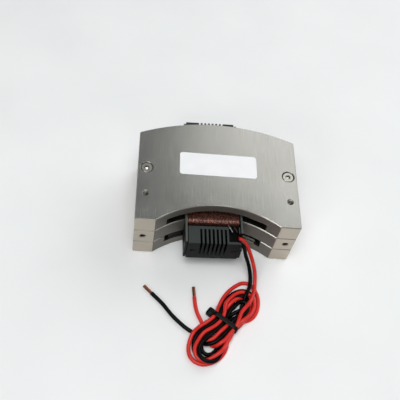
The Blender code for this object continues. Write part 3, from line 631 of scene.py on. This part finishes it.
@dataclass
class Hank:
    """The two lead wires, in turns in one tied hank, with a tail and a bare end each."""

    centre: tuple[float, float] = (7.0, -86.8)
    angle: float = math.radians(53)
    wire: float = 2.3
    step: float = 1.15
    sweep: float = math.radians(105)
    steps: int = 8
    waist: float = 1.3
    top: float = 6.6
    held_beyond: float = 13.5
    tightest: float = 7.0
    rounds: int = 160
    search_every: int = 6
    passes: int = 3
    smoothings: int = 2
    near: float = 1.7  # in wires: how far off points are watched
    neighbours: float = 1.6  # in wires: how far along the wire points don't push each other
    touch: float = 1.013  # in wires: how close points push each other away
    hold: float = 0.03  # the share of the way home that a point goes in a round,
    hold_height: float = 0.3  # how much of it upwards,
    hold_waist: float = 0.35  # and the share at the waist
    bend: float = 0.35  # the shares of the way to a straight run,
    stretch: float = 0.35  # to the right length,
    push: float = 0.42  # out of a touch,
    straighten: float = 0.3  # and out of too tight a bend
    sink: float = 0.012
    most: float = 0.3  # how far a round moves a point,
    most_pushed: float = 0.25  # and a push

    def to_hank(self, point: Point) -> Point:
        """Turn a point in the stack's frame into the hank's frame.

        Args:
            point: the point in metres.

        Returns:
            The point in millimetres.
        """
        x, y = point[0] / MM - self.centre[0], point[1] / MM - self.centre[1]
        cos, sin = math.cos(self.angle), math.sin(self.angle)
        return (x * cos + y * sin, y * cos - x * sin, point[2] / MM)

    def to_world(self, line: np.ndarray) -> np.ndarray:
        """Turn a line in the hank's frame into the stack's frame, both in millimetres.

        Args:
            line: the line's points.

        Returns:
            The turned points.
        """
        cos, sin = math.cos(self.angle), math.sin(self.angle)
        x = self.centre[0] + line[:, 0] * cos - line[:, 1] * sin
        y = self.centre[1] + line[:, 0] * sin + line[:, 1] * cos
        return np.stack([x, y, line[:, 2]], axis=1)

    def route(self, lead: Lead) -> tuple[np.ndarray, np.ndarray]:
        """Join a lead's start, turns and tail into one smooth line.

        Args:
            lead: the lead wire.

        Returns:
            The line's points in the hank's frame, evenly spaced, and which of them stay where they are.
        """
        start = [self.to_hank(p) for p in lead.bend]
        tail = [self.to_hank(p) for p in lead.tail]
        knots = start + list(lead.onto)
        for turn in lead.turns:
            knots += turn.points(self.steps, self.sweep)
        knots += [(0.0, *lead.last_slot)] + list(lead.off) + tail
        line = self.spaced(self.smooth(np.array(knots)))
        return line, (line[:, 0] > start[-1][0] - self.wire / 2) | (line[:, 1] > self.held_beyond)

    def smooth(self, knots: np.ndarray) -> np.ndarray:
        """Run a smooth line through knots.

        Args:
            knots: the points to pass through.

        Returns:
            The line's points.
        """
        padded = np.vstack([2 * knots[0] - knots[1], knots, 2 * knots[-1] - knots[-2]])
        line = []
        for a, b, c, d in zip(padded, padded[1:], padded[2:], padded[3:]):
            for t in np.arange(0, 1, 0.125):
                line.append(0.5 * (2 * b + (c - a) * t + (2 * a - 5 * b + 4 * c - d) * t ** 2
                                   + (3 * b - a - 3 * c + d) * t ** 3))
        line.append(knots[-1])
        return np.array(line)

    def spaced(self, line: np.ndarray) -> np.ndarray:
        """Set a line's points an even step apart.

        Args:
            line: the line's points.

        Returns:
            The same line with evenly spaced points.
        """
        along = np.concatenate([[0], np.cumsum(np.linalg.norm(np.diff(line, axis=0), axis=1))])
        count = max(2, round(along[-1] / self.step))
        places = np.linspace(0, along[-1], count + 1)
        return np.stack([np.interp(places, along, line[:, k]) for k in range(3)], axis=1)

    def close_pairs(self, points: np.ndarray, owner: np.ndarray,
                    reach: float) -> tuple[np.ndarray, np.ndarray]:
        """Find the points that lie near each other and aren't neighbours on one wire.

        Args:
            points: all points.
            owner: the wire of each point.
            reach: how near they lie.

        Returns:
            The numbers of the first and of the second point of each pair.
        """
        square = (points ** 2).sum(axis=1)
        apart = square[:, None] + square[None] - 2 * points @ points.T
        first, second = np.nonzero(apart < reach ** 2)
        skip = self.neighbours * self.wire / self.step
        keep = (second > first) & ((owner[first] != owner[second]) | (second - first >= skip))
        return first[keep], second[keep]

    def spread(self, points: np.ndarray, numbers: list[np.ndarray], moves: list[np.ndarray], free: np.ndarray,
               most: float) -> None:
        """Add moves to points, each capped, and leave the held points alone.

        Args:
            points: all points, changed in place.
            numbers: the points that each list of moves is for.
            moves: the moves.
            free: which points may move.
            most: the most that a coordinate changes.
        """
        total = np.zeros_like(points)
        for number, move in zip(numbers, moves):
            np.add.at(total, number, move)
        points[free] += np.clip(total[free], -most, most)

    def settle(self, lines: list[np.ndarray], held: list[np.ndarray]) -> list[np.ndarray]:
        """Let the wires find room: they keep their length, bend gently, sink, and push each other away.

        Args:
            lines: the wires' lines.
            held: which points of each stay where they are.

        Returns:
            The settled lines.
        """
        home = np.vstack(lines)
        owner = np.concatenate([np.full(len(line), k) for k, line in enumerate(lines)])
        same = owner[1:] == owner[:-1]
        ends = np.concatenate([[True], ~same]) | np.concatenate([~same, [True]])
        free = ~(ends | np.concatenate(held))
        waist = np.abs(home[:, 0]) < self.waist
        inner, links = np.where(~ends)[0], np.where(same)[0]
        rest = np.linalg.norm(home[links + 1] - home[links], axis=1)
        middles = []
        for k in (1, 2, 3):
            whole = np.arange(k, len(home) - k)
            whole = whole[owner[whole - k] == owner[whole + k]]
            middles.append((k, whole, (k * self.step) ** 2 / (2 * self.tightest)))
        touch = self.wire * self.touch
        points = home.copy()
        everything = np.arange(len(points))
        for number in range(self.rounds):
            if number % self.search_every == 0:
                first, second = self.close_pairs(points, owner, self.near * self.wire)
                apart = ~(waist[first] & waist[second])
                first, second = first[apart], second[apart]
            pull = self.hold * (home - points) * (1.0, 1.0, self.hold_height)
            pull[waist] = self.hold_waist * (home - points)[waist]
            pull[:, 2] -= self.sink
            bend = self.bend * ((points[inner - 1] + points[inner + 1]) / 2 - points[inner])
            run = points[links + 1] - points[links]
            size = np.linalg.norm(run, axis=1)
            fix = (self.stretch * (size - rest) / size)[:, None] * run
            self.spread(points, [everything, inner, links, links + 1], [pull, bend, fix, -fix], free,
                        self.most)
            for _ in range(self.passes):
                gap = points[first] - points[second]
                size = np.maximum(np.linalg.norm(gap, axis=1), 0.05)
                short = np.maximum(0, touch - size)
                hits = np.bincount(np.concatenate([first, second]), np.tile(short > 0, 2), len(points))
                share = np.sqrt(np.maximum(1, hits))
                push = (self.push * short / size)[:, None] * gap
                self.spread(points, [first, second], [push / share[first, None], -push / share[second, None]],
                            free, self.most_pushed)
                for k, whole, limit in middles:
                    sag = (points[whole - k] + points[whole + k]) / 2 - points[whole]
                    size = np.maximum(np.linalg.norm(sag, axis=1), 1e-6)
                    ease = self.straighten * ((np.maximum(0, size - limit) / size)[:, None] * sag)
                    self.spread(points, [whole, whole - k, whole + k], [ease, -ease / 2, -ease / 2], free,
                                self.most_pushed)
                points[:, 2] = np.maximum(points[:, 2], self.wire / 2)
                points[free, 2] = np.minimum(points[free, 2], self.top)
        for _ in range(self.smoothings):
            points[inner] = (points[inner - 1] + points[inner + 1]) / 4 + points[inner] / 2
        return [points[owner == k] for k in range(len(lines))]

    def build(self, leads: dict[str, Lead], finishes: dict[str, Material],
              fitted: dict[str, list[Object]]) -> None:
        """Args:
            leads: the leads by colour.
            finishes: the insulation by colour.
            fitted: the pieces on each wire by colour, such as its bare end; not used.
        """
        routes = {color: self.route(lead) for color, lead in leads.items()}
        settled = self.settle([line for line, _ in routes.values()], [held for _, held in routes.values()])
        for color, line in zip(leads, settled):
            points = self.to_world(line)
            wire = cord_curve(f"{color}_wire", points, self.wire, finishes[color])
            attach(wire, Body.CARRIER.value)
            nodes = (f"{color}_lead", f"{color}_tail") + (("wire_hank",) if color == "red" else ())
            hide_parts(*nodes)


HIGH, DEEP, FLOOR = 4.45, 2.25, 1.15

RED = Lead(
    bend=((0.01311, -0.04318, 0.02515), (0.0150, -0.0431, 0.0243), (0.0164, -0.0431, 0.0229),
          (0.0182, -0.0438, 0.0208), (0.0197, -0.0448, 0.0187), (0.0219, -0.0476, 0.0149),
          (0.0233, -0.0499, 0.0124), (0.0246, -0.0525, 0.0099), (0.0255, -0.0552, 0.0075),
          (0.0260, -0.0581, 0.0051), (0.0260, -0.0616, 0.0031)),
    onto=((29.1, -1.3, 4.8), (25.6, -2.7, 5.75), (22.6, -3.9, 5.75), (18.8, -4.3, 5.75), (11.6, -4.2, 5.6),
          (5.5, -5.2, 4.8)),
    turns=(
        HalfTurn((-6.36, HIGH), -16.4, -7.0, 6.0, 0.0, (4.4, FLOOR, FLOOR)),
        HalfTurn((6.0, DEEP), 21.8, 3.4, -7.6, -2.0, (4.4, FLOOR, 3.4)),
        HalfTurn((-6.36, DEEP), -26.2, -9.0, 6.0, 0.0, (4.5, 3.0, 3.45)),
        HalfTurn((2.12, HIGH), 25.9, 6.2, -9.0, -0.5, (3.45, 2.8, 3.45)),
        HalfTurn((-4.24, DEEP), -28.3, -10.0, 10.2, 0.8, (FLOOR, FLOOR, 2.2)),
        HalfTurn((6.36, HIGH), 30.8, 10.2, -10.6, 2.6, (FLOOR, FLOOR, FLOOR)),
    ),
    last_slot=(-2.12, HIGH),
    off=((-2.8, -1.2, HIGH), (-5.6, -1.0, 4.2), (-8.6, -0.8, 3.2), (-11.8, -0.8, 1.6), (-14.2, 1.2, FLOOR),
         (-14.6, 4.4, FLOOR), (-12.4, 6.9, FLOOR), (-9.2, 7.6, FLOOR)),
    tail=((-0.0040, -0.0867, 0.0016), (-0.0066, -0.0836, 0.0013), (-0.0084, -0.0792, 0.0012),
          (-0.0094, -0.0746, 0.0012), (-0.0098, -0.0704, 0.0012)),
)
BLACK = Lead(
    bend=((0.01318, -0.04578, 0.02435), (0.0147, -0.0460, 0.0238), (0.0160, -0.0464, 0.0227),
          (0.0174, -0.0471, 0.0205), (0.0183, -0.0482, 0.0173), (0.0195, -0.0497, 0.0142),
          (0.0209, -0.0516, 0.0115), (0.0221, -0.0540, 0.0087), (0.0229, -0.0566, 0.0061),
          (0.0233, -0.0589, 0.0039)),
    onto=((30.5, 2.6, 3.6), (28.6, 1.6, 3.8), (26.2, 0.9, 4.5), (23.2, 0.1, 4.5), (19.8, -0.8, 3.2),
          (16.2, -1.6, 1.8), (12.0, -3.2, FLOOR), (8.0, -5.2, 1.8), (4.0, -5.0, 2.0)),
    turns=(
        HalfTurn((-2.12, DEEP), -25.2, -7.6, 7.9, 0.0, (FLOOR, FLOOR, 2.4)),
        HalfTurn((4.24, HIGH), 26.2, 8.2, -8.6, 0.2, (FLOOR, FLOOR, FLOOR)),
        HalfTurn((0.0, DEEP), -25.6, -9.4, 3.6, -2.2, (2.8, 4.4, 3.6)),
        HalfTurn((0.0, HIGH), 23.0, 4.6, -5.0, 0.0, (3.45, 3.45, 3.45)),
        HalfTurn((2.12, DEEP), -21.8, -7.4, 3.6, -1.9, (1.5, 1.4, 1.8)),
        HalfTurn((4.24, DEEP), 20.2, 3.4, -7.0, -1.8, (3.6, 4.4, 3.6)),
    ),
    last_slot=(-4.24, HIGH),
    off=((-2.8, -4.2, HIGH), (-5.7, -4.3, HIGH), (-9.3, -4.0, 4.4), (-12.0, -3.3, 4.0), (-14.9, -2.0, 3.0),
         (-17.0, 0.6, 2.0), (-17.0, 4.0, FLOOR), (-15.4, 7.4, FLOOR)),
    tail=((-0.0099, -0.0922, 0.0016), (-0.0136, -0.0903, 0.0013), (-0.0180, -0.0867, 0.0012),
          (-0.0232, -0.0817, 0.0012), (-0.0282, -0.0756, 0.0012), (-0.0349, -0.0692, 0.0012)),
)


@dataclass
class BareEnd:
    """The stripped end of a lead wire: fine copper strands, twisted."""

    radius: float = 0.95
    strand: float = 0.33
    count: int = 6
    length: float = 6.0
    turns: float = 0.45
    gap: float = 0.3

    def build(self, color: str, start: Vector, heading: Vector,
              material: Material) -> Object:
        """Grow the strands.

        Args:
            color: which lead.
            start: where the insulation ends, in metres.
            heading: the way the wire points.
            material: the copper.

        Returns:
            The finished object.
        """
        growth = Growth(f"{color}_bare_end", {
            "Strand Radius": self.strand * MM, "Twist Radius": (self.radius - self.strand) * MM,
            "Length": self.length * MM, "Twist": self.turns, "Count": self.count})
        spiral = growth.node("GeometryNodeCurveSpiral", {
            "Resolution": 24, "Rotations": growth.size("Twist"), "Start Radius": growth.size("Twist Radius"),
            "End Radius": growth.size("Twist Radius"), "Height": growth.size("Length")})
        core = growth.node("GeometryNodeCurvePrimitiveLine", {
            "Direction": (0.0, 0.0, 1.0), "Length": growth.size("Length")}, mode="DIRECTION")
        twisted, straight = (growth.tube(path.outputs[0], growth.size("Strand Radius"), sides=10)
                             for path in (spiral, core))
        bundle = growth.join(growth.ring_of(twisted, growth.size("Count"), 0.0), straight)
        aim = heading.to_track_quat("Z", "X").to_matrix().to_4x4()
        place = Matrix.Translation(start) @ aim @ moved(0.0, 0.0, self.gap)
        end = growth.grow(growth.on_points(bundle), material, Body.CARRIER, [place], "bare_copper")
        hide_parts(f"{color}_strands")
        return end


@dataclass
class Winding:
    """The coil: one visible layer of enamelled wire over the turns below it."""

    front: float = 53.11
    rear: float = 121.95
    half_height: float = 9.1
    half_width: float = 15.3
    middle: float = STACK_TOP / 2
    wire: float = 0.8
    corner: float = 2.0
    leg: float = 1.7
    facet: float = 1.6
    crossing: tuple[float, float] = (0.4, 0.5)  # the part of its length in which a turn moves on by a pitch

    def build(self, material: Material) -> None:
        """Grow the turns and the layers under them.

        Args:
            material: the enamelled wire.
        """
        turns = int(2 * self.half_width / self.wire)
        depth = self.leg - self.wire / 2
        length, height = self.rear - self.front - self.wire, 2 * self.half_height - self.wire
        growth = Growth("winding_turns", {
            "Turns": turns, "Wire Radius": self.wire / 2 * MM, "Pitch": 2 * self.half_width / turns * MM,
            "Length": length * MM, "Height": height * MM, "Corner": (self.corner - self.wire / 2) * MM,
            "Width": 2 * self.half_width * MM, "Start": -self.half_width * MM, "Facet": self.facet * MM,
            "Depth": depth * MM, "Bed Length": (length - depth) * MM, "Bed Height": (height - depth) * MM})
        fine = growth.node("GeometryNodeResampleCurve", {
            "Curve": self.loop(growth, "Length", "Height"), "Length": growth.size("Facet")}, mode="LENGTH")
        part = growth.node("GeometryNodeSplineParameter")
        lift = growth.node("ShaderNodeMapRange", {
            "Value": part.outputs["Factor"], "From Min": self.crossing[0], "From Max": self.crossing[1],
            "To Max": growth.size("Pitch")}, interpolation_type="SMOOTHSTEP")
        upwards = [growth.node("ShaderNodeCombineXYZ", {"Z": rise}).outputs[0]
                   for rise in (lift.outputs[0], growth.size("Start"), growth.size("Pitch"))]
        slanted = growth.node("GeometryNodeSetPosition", {"Geometry": fine.outputs[0], "Offset": upwards[0]})
        ring = growth.tube(slanted.outputs[0], growth.size("Wire Radius"), sides=8)
        row = growth.node("GeometryNodeMeshLine", {
            "Count": growth.size("Turns"), "Start Location": upwards[1], "Offset": upwards[2]}, mode="OFFSET")
        layer = growth.node("GeometryNodeInstanceOnPoints", {"Points": row.outputs[0], "Instance": ring})
        section = growth.node("GeometryNodeCurvePrimitiveQuadrilateral", {
            "Width": growth.size("Depth"), "Height": growth.size("Width")})
        bed = growth.node("GeometryNodeCurveToMesh", {
            "Curve": self.loop(growth, "Bed Length", "Bed Height"), "Profile Curve": section.outputs[0]})
        both = growth.join(layer.outputs[0], bed.outputs[0])
        # The loop's X runs from front to back, its Y runs up, and the turns follow each other to the right.
        turned = Matrix(((0, 0, 1, 0), (1, 0, 0, 0), (0, 1, 0, 0), (0, 0, 0, 1)))
        upright = carrier_place(0.0, (self.front + self.rear) / 2, self.middle) @ turned
        piece = growth.grow(growth.on_points(both), material, Body.CARRIER, [upright], "enamelled_copper")
        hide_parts("coil_winding")

    def loop(self, growth: Growth, length: str, height: str) -> NodeSocket:
        """Draw a rectangle with round corners.

        Args:
            growth: the tree that gets it.
            length: the label of its size from front to back.
            height: the label of its size upwards.

        Returns:
            The curve's socket.
        """
        plain = growth.node("GeometryNodeCurvePrimitiveQuadrilateral", {
            "Width": growth.size(length), "Height": growth.size(height)})
        return growth.node("GeometryNodeFilletCurve", {
            "Curve": plain.outputs[0], "Count": 5, "Radius": growth.size("Corner")}, mode="POLY").outputs[0]


@dataclass
class Threads:
    """The thread of tapped holes, seen as ridges inside their walls."""

    name: str
    body: Body
    slot: str
    bore: float
    depth: float
    pitch: float
    ridge: float = 0.42  # the ridge's radius in pitches

    def build(self, places: list[Matrix], material: Material) -> None:
        """Grow a thread in each hole.

        Args:
            places: the mouths of the holes, with Z out of the hole.
            material: the plated or dyed metal round it.
        """
        growth = Growth(self.name, {
            "Bore Radius": self.bore / 2 * MM, "Depth": self.depth * MM, "Pitch": self.pitch * MM,
            "Ridge Radius": self.ridge * self.pitch * MM})
        turns = growth.node("ShaderNodeMath", {
            0: growth.size("Depth"), 1: growth.size("Pitch")}, operation="DIVIDE")
        spiral = growth.node("GeometryNodeCurveSpiral", {
            "Resolution": 20, "Rotations": turns.outputs[0], "Start Radius": growth.size("Bore Radius"),
            "End Radius": growth.size("Bore Radius"), "Height": growth.size("Depth")})
        ridge = growth.tube(spiral.outputs[0], growth.size("Ridge Radius"), sides=4)
        inside = [place @ moved(0.0, 0.0, -self.depth - self.pitch / 2) for place in places]
        growth.grow(growth.on_points(ridge), material, self.body, inside, self.slot)


@dataclass
class Knurls:
    """The fine upright ridges round the heads of the socket screws."""

    head: float = 7.0
    height: float = 3.1
    count: int = 44
    ridge: float = 0.16

    def build(self, places: list[Matrix], material: Material) -> None:
        """Grow the ridges round each head.

        Args:
            places: the middle of each head's knurled band.
            material: the screws' steel.
        """
        growth = Growth("screw_knurls", {
            "Head Radius": self.head / 2 * MM, "Height": self.height * MM, "Ridge": self.ridge * MM,
            "Count": self.count})
        bar = growth.node("GeometryNodeMeshCylinder", {
            "Vertices": 4, "Radius": growth.size("Ridge"), "Depth": growth.size("Height")})
        band = growth.ring_of(bar.outputs["Mesh"], growth.size("Count"), growth.size("Head Radius"))
        growth.grow(growth.on_points(band), material, Body.STATOR, places, "screw_steel", smooth=False)


@dataclass
class BoreRims:
    """The broken edges at the mouths of the counterbores, which catch the light as thin crescents."""

    bore: float = 8.0
    edge: float = 0.36

    def build(self, places: list[Matrix], material: Material) -> None:
        """Grow a rim in each mouth.

        Args:
            places: the mouths of the bores, with Z out of the bore.
            material: the plated steel.
        """
        growth = Growth("counterbore_rims", {"Bore Radius": self.bore / 2 * MM, "Edge": self.edge * MM})
        path = growth.node("GeometryNodeCurvePrimitiveCircle", {
            "Resolution": 48, "Radius": growth.size("Bore Radius")})
        rim = growth.tube(path.outputs["Curve"], growth.size("Edge"), sides=4)
        inside = [place @ moved(0.0, 0.0, -self.edge) for place in places]
        growth.grow(growth.on_points(rim), material, Body.STATOR, inside, "nickel_plate", smooth=False)


@dataclass
class Fixings:
    """What the screws and the tapped holes show: threads, rims and knurls, left and right alike."""

    across: float = 42.2
    front: float = -41.75
    tap_behind: float = 17.8
    bore_behind: float = 35.6
    head_drop: float = 2.65
    payload_across: float = 12.1
    payload_from_axis: float = 39.61
    plate_thread: tuple[float, float, float] = (3.3, 7.0, 0.7)
    payload_thread: tuple[float, float, float] = (2.5, 4.5, 0.5)

    def pair(self, behind: float, height: float, tilt: float = 0.0) -> list[Matrix]:
        """Find a place on the left and one on the right.

        Args:
            behind: millimetres behind the front flats.
            height: millimetres above the floor.
            tilt: the turn about X that points Z out of the hole.

        Returns:
            The two places, in metres.
        """
        turn = Matrix.Rotation(tilt, 4, "X")
        return [moved(x, self.front + behind, height) @ turn for x in (-self.across, self.across)]

    def build(self, plate: Material, tapped: Material, dyed: Material,
              steel: Material) -> None:
        """Grow the threads, the rims and the knurls.

        Args:
            plate: the yoke plates' finish.
            tapped: the finish of the front threads.
            dyed: the end blocks' finish.
            steel: the screws' finish.
        """
        middle = STACK_TOP / 2
        taps = self.pair(self.tap_behind, STACK_TOP) + self.pair(self.tap_behind, 0.0, math.pi)
        Threads("yoke_threads", Body.STATOR, "nickel_plate", *self.plate_thread).build(taps, plate)
        front = self.pair(0.0, middle, math.pi / 2)
        Threads("front_threads", Body.STATOR, "nickel_plate", *self.plate_thread).build(front, tapped)
        forward = Matrix.Rotation(math.pi / 2, 4, "X")
        payload = [carrier_place(x, self.payload_from_axis, middle) @ forward
                   for x in (-self.payload_across, self.payload_across)]
        Threads("payload_threads", Body.CARRIER, "black_anodised", *self.payload_thread).build(payload, dyed)
        Knurls().build(self.pair(self.bore_behind, STACK_TOP - self.head_drop), steel)
        BoreRims().build(self.pair(self.bore_behind, STACK_TOP), plate)


@dataclass
class Sticker:
    """The plain white sticker on the upper plate."""

    low: tuple[float, float] = (-22.9, -9.2)
    high: tuple[float, float] = (23.2, 6.6)
    corner: float = 1.6
    thickness: float = 0.06
    sunk: float = 0.02

    def build(self, material: Material) -> None:
        """Lay the sticker on the plate.

        Args:
            material: the sticker's film.
        """
        bm = bmesh.new()
        centre = [(low + high) / 2 for low, high in zip(self.low, self.high)]
        half = [(high - low) / 2 for low, high in zip(self.low, self.high)]
        rim = [bm.verts.new(Vector((centre[0] + x, centre[1] + y, STACK_TOP - self.sunk)) * MM)
               for x, y in rounded_rectangle(*half, self.corner, steps=8)]
        base = bm.faces.new(rim)
        raised = bmesh.ops.extrude_face_region(bm, geom=[base])["geom"]
        top = [v for v in raised if isinstance(v, bmesh.types.BMVert)]
        bmesh.ops.translate(bm, vec=(0, 0, (self.thickness + self.sunk) * MM), verts=top)
        mesh_piece("plain_sticker", bm, material, Body.STATOR)


@dataclass
class CableTie:
    """The nylon tie round the hank's waist: a strap with soft edges and its head."""

    hank: Hank
    along: float = 1.0
    width: float = 2.4
    thickness: float = 1.1
    half_wide: float = 8.6
    height: float = 6.7
    corner: float = 2.4
    edge: float = 0.25
    head: tuple[float, float, float] = (4.8, 4.2, 4.2)
    head_edge: float = 1.0
    head_middle: float = 2.3

    def stand(self) -> Matrix:
        """The hank's frame at the tie's middle, in metres."""
        return moved(*self.hank.centre) @ Matrix.Rotation(self.hank.angle, 4, "Z") @ moved(self.along, 0.0)

    def build(self, material: Material) -> Object:
        """Build the tie.

        Args:
            material: the nylon.

        Returns:
            The finished object.
        """
        bm = bmesh.new()
        self.strap(bm)
        self.block(bm, Vector((0.0, self.half_wide + (self.head[1] - self.thickness) / 2, self.head_middle)))
        bmesh.ops.transform(bm, matrix=self.stand(), verts=bm.verts)
        tie = mesh_piece("tie_strap_and_head", bm, material, Body.CARRIER)
        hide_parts("cable_tie")
        return tie

    def strap(self, bm: bmesh.types.BMesh) -> None:
        """Add the strap: a closed band whose four edges are cut off.

        Args:
            bm: the mesh that gets it.
        """
        inset, half = self.edge / 2, self.width / 2
        section = [(0.0, half - self.edge), (-inset, half), (inset - self.thickness, half),
                   (-self.thickness, half - self.edge)]
        section += [(grow, -u) for grow, u in reversed(section)]
        rings = []
        for grow, u in section:
            outline = rounded_rectangle(self.half_wide + grow, self.height / 2 + grow, self.corner + grow)
            rings.append([bm.verts.new(Vector((u, v, self.height / 2 + z)) * MM) for v, z in outline])
        for ring, after in zip(rings, rings[1:] + rings[:1]):
            for i, vert in enumerate(ring):
                j = (i + 1) % len(ring)
                bm.faces.new((vert, ring[j], after[j], after[i]))

    def block(self, bm: bmesh.types.BMesh, middle: Vector) -> None:
        """Add the head, a block with round edges.

        Args:
            bm: the mesh that gets it.
            middle: its centre in millimetres.
        """
        made = bmesh.ops.create_cube(bm, size=1.0)["verts"]
        bmesh.ops.scale(bm, vec=Vector(self.head) * MM, verts=made)
        bmesh.ops.translate(bm, vec=middle * MM, verts=made)
        edges = list({e for v in made for e in v.link_edges})
        bmesh.ops.bevel(bm, geom=made + edges, offset=self.head_edge * MM, segments=4, affect="EDGES",
                        profile=0.5)


@dataclass
class Potting:
    """The cast black filling of the lead pocket, which climbs its walls a little."""

    low: tuple[float, float, float] = (8.6, 41.5, 21.25)
    high: tuple[float, float, float] = (14.0, 50.9, 26.45)
    dip: float = 0.35
    climb: float = 0.45
    swell: float = 0.12  # how much of the dip the long waves take, and the short ones
    ripple: float = 0.06
    cells: int = 26

    def build(self, material: Material) -> None:
        """Build the filling.

        Args:
            material: the epoxy.
        """
        bm = bmesh.new()
        made = bmesh.ops.create_grid(bm, x_segments=self.cells, y_segments=self.cells, size=0.5)["verts"]
        size = Vector(self.high) - Vector(self.low)
        for vert in made:
            x, y = vert.co.x + 0.5, vert.co.y + 0.5
            wall = min(x * size.x, (1 - x) * size.x, y * size.y, (1 - y) * size.y)
            rise = math.exp(-wall / self.climb)
            wave = self.swell * math.sin(7.1 * x + 2.0) * math.sin(9.3 * y + 1.0)
            wave += self.ripple * math.sin(17 * x * y + 0.5)
            height = self.high[2] - self.dip * (1 - rise) * (1 + wave)
            vert.co = Vector((self.low[0] + x * size.x, self.low[1] + y * size.y, height)) * MM
        rim = [e for e in bm.edges if e.is_boundary]
        skirt = bmesh.ops.extrude_edge_only(bm, edges=rim)["geom"]
        lower = [v for v in skirt if isinstance(v, bmesh.types.BMVert)]
        for vert in lower:
            vert.co.z = self.low[2] * MM
        bottom = [e for e in skirt if isinstance(e, bmesh.types.BMEdge)]
        bmesh.ops.contextual_create(bm, geom=bottom)
        bmesh.ops.transform(bm, matrix=carrier_place(0.0, 0.0, 0.0), verts=bm.verts)
        filling = mesh_piece("epoxy_filling", bm, material, Body.CARRIER)
        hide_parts("lead_potting")


@dataclass(frozen=True)
class Lamp:
    """One soft area lamp: its place, the point that it faces and its side in metres, and its watts."""

    name: str
    place: Point
    aim: Point
    size: float
    power: float

    def hang(self) -> None:
        """Hang the lamp."""
        data = bpy.data.lights.new(self.name, "AREA")
        data.shape = "SQUARE"
        data.size = self.size
        data.energy = self.power
        facing = (Vector(self.aim) - Vector(self.place)).to_track_quat("-Z", "Y").to_matrix().to_4x4()
        new_object(self.name, data).matrix_world = Matrix.Translation(self.place) @ facing


@dataclass
class Studio:
    """Camera, floor and lamps."""

    camera_place: Point = (-46.75, -218.99, 335.48)
    yaw: float = 0.184
    pitch: float = 0.989
    roll: float = 0.220
    focal_pixels: float = 622.229
    sensor: float = 36.0
    room_tone: str = "eef3f8"
    room_light: float = 0.07
    room_mirrored: float = 0.25
    floor_half: float = 3.0  # metres
    lamps: tuple[Lamp, ...] = (
        Lamp("key", (0.7, 0.69, 0.66), (0.0, -0.02, 0.02), 1.2, 8.0),
        Lamp("overhead", (-0.15, -0.28, 1.15), (0.0, 0.0, 0.0), 0.8, 8.8),
        Lamp("right_edge", (0.75, -0.62, 0.52), (0.0, -0.05, 0.0), 0.14, 0.3),
        Lamp("left_edge", (-0.55, -0.78, 0.64), (0.0, -0.05, 0.0), 0.25, 1.3),
        Lamp("front_edge", (0.1, -0.95, 0.62), (0.0, -0.05, 0.0), 0.22, 0.4),
    )

    def camera(self) -> None:
        """Set the camera at the photograph's place."""
        level = math.cos(self.pitch)
        forward = Vector((math.sin(self.yaw) * level, math.cos(self.yaw) * level, -math.sin(self.pitch)))
        flat = Vector((math.cos(self.yaw), -math.sin(self.yaw), 0))
        steep = flat.cross(forward)
        right = flat * math.cos(self.roll) + steep * math.sin(self.roll)
        up = steep * math.cos(self.roll) - flat * math.sin(self.roll)
        data = bpy.data.cameras.new("camera")
        data.sensor_width = self.sensor
        data.lens = self.focal_pixels / IMAGE_SIDE * self.sensor
        data.clip_start = 0.01
        data.clip_end = 20
        camera = new_object("camera", data)
        camera.matrix_world = moved(*self.camera_place) @ Matrix((right, up, -forward)).transposed().to_4x4()
        bpy.context.scene.camera = camera

    def floor(self) -> None:
        """Lay the pale floor."""
        mesh = bpy.data.meshes.new("floor")
        half = self.floor_half
        corners = [(-half, -half, 0), (half, -half, 0), (half, half, 0), (-half, half, 0)]
        mesh.from_pydata(corners, [], [(0, 1, 2, 3)])
        mesh.materials.append(PALE_BOARD.build())
        new_object("floor", mesh)

    def light(self) -> None:
        """Light the scene softly, mostly from above and from behind on the right."""
        world = bpy.data.worlds.new("studio")
        bpy.context.scene.world = world
        world.use_nodes = True
        tree = world.node_tree
        background = next(n for n in tree.nodes if n.type == "BACKGROUND")
        background.inputs["Color"].default_value = linear(self.room_tone)
        ray = add_node(tree, "ShaderNodeLightPath")
        strength = add_node(tree, "ShaderNodeMath", {
            0: ray.outputs["Is Glossy Ray"], 1: self.room_mirrored,
            2: self.room_light}, operation="MULTIPLY_ADD")
        tree.links.new(strength.outputs[0], background.inputs["Strength"])
        for lamp in self.lamps:
            lamp.hang()
        bpy.context.scene.view_settings.view_transform = "Standard"


def main() -> None:
    """Build every piece in order."""
    studio = Studio()
    studio.camera()
    studio.floor()
    studio.light()
    others = (HOLE_SHADE_STEEL, ENAMELLED, EPOXY, BLACK_NYLON, BARE_COPPER, RED_PVC, BLACK_PVC, STICKER_FILM)
    built = {finish: finish.build() for finish in (*DRESSED, *others)}
    for finish, nodes in DRESSED.items():
        for slot in (slot for node in nodes.split() for slot in bpy.data.objects[node].material_slots):
            slot.material = built[finish]
    Winding().build(built[ENAMELLED])
    Fixings().build(built[GROUND_STEEL], built[HOLE_SHADE_STEEL], built[ANODISED], built[STAINLESS])
    Sticker().build(built[STICKER_FILM])
    Potting().build(built[EPOXY])
    hank = Hank()
    fitted = {"red": [CableTie(hank).build(built[BLACK_NYLON])], "black": []}
    leads = {"red": RED, "black": BLACK}
    for color, lead in leads.items():
        last, before = Vector(lead.tail[-1]), Vector(lead.tail[-2])
        end = BareEnd().build(color, last, (last - before).normalized(), built[BARE_COPPER])
        fitted[color].append(end)
    hank.build(leads, {"red": built[RED_PVC], "black": built[BLACK_PVC]}, fitted)


if __name__ == "__main__":
    logging.basicConfig(level=logging.INFO, format="%(name)s %(message)s")
    main()
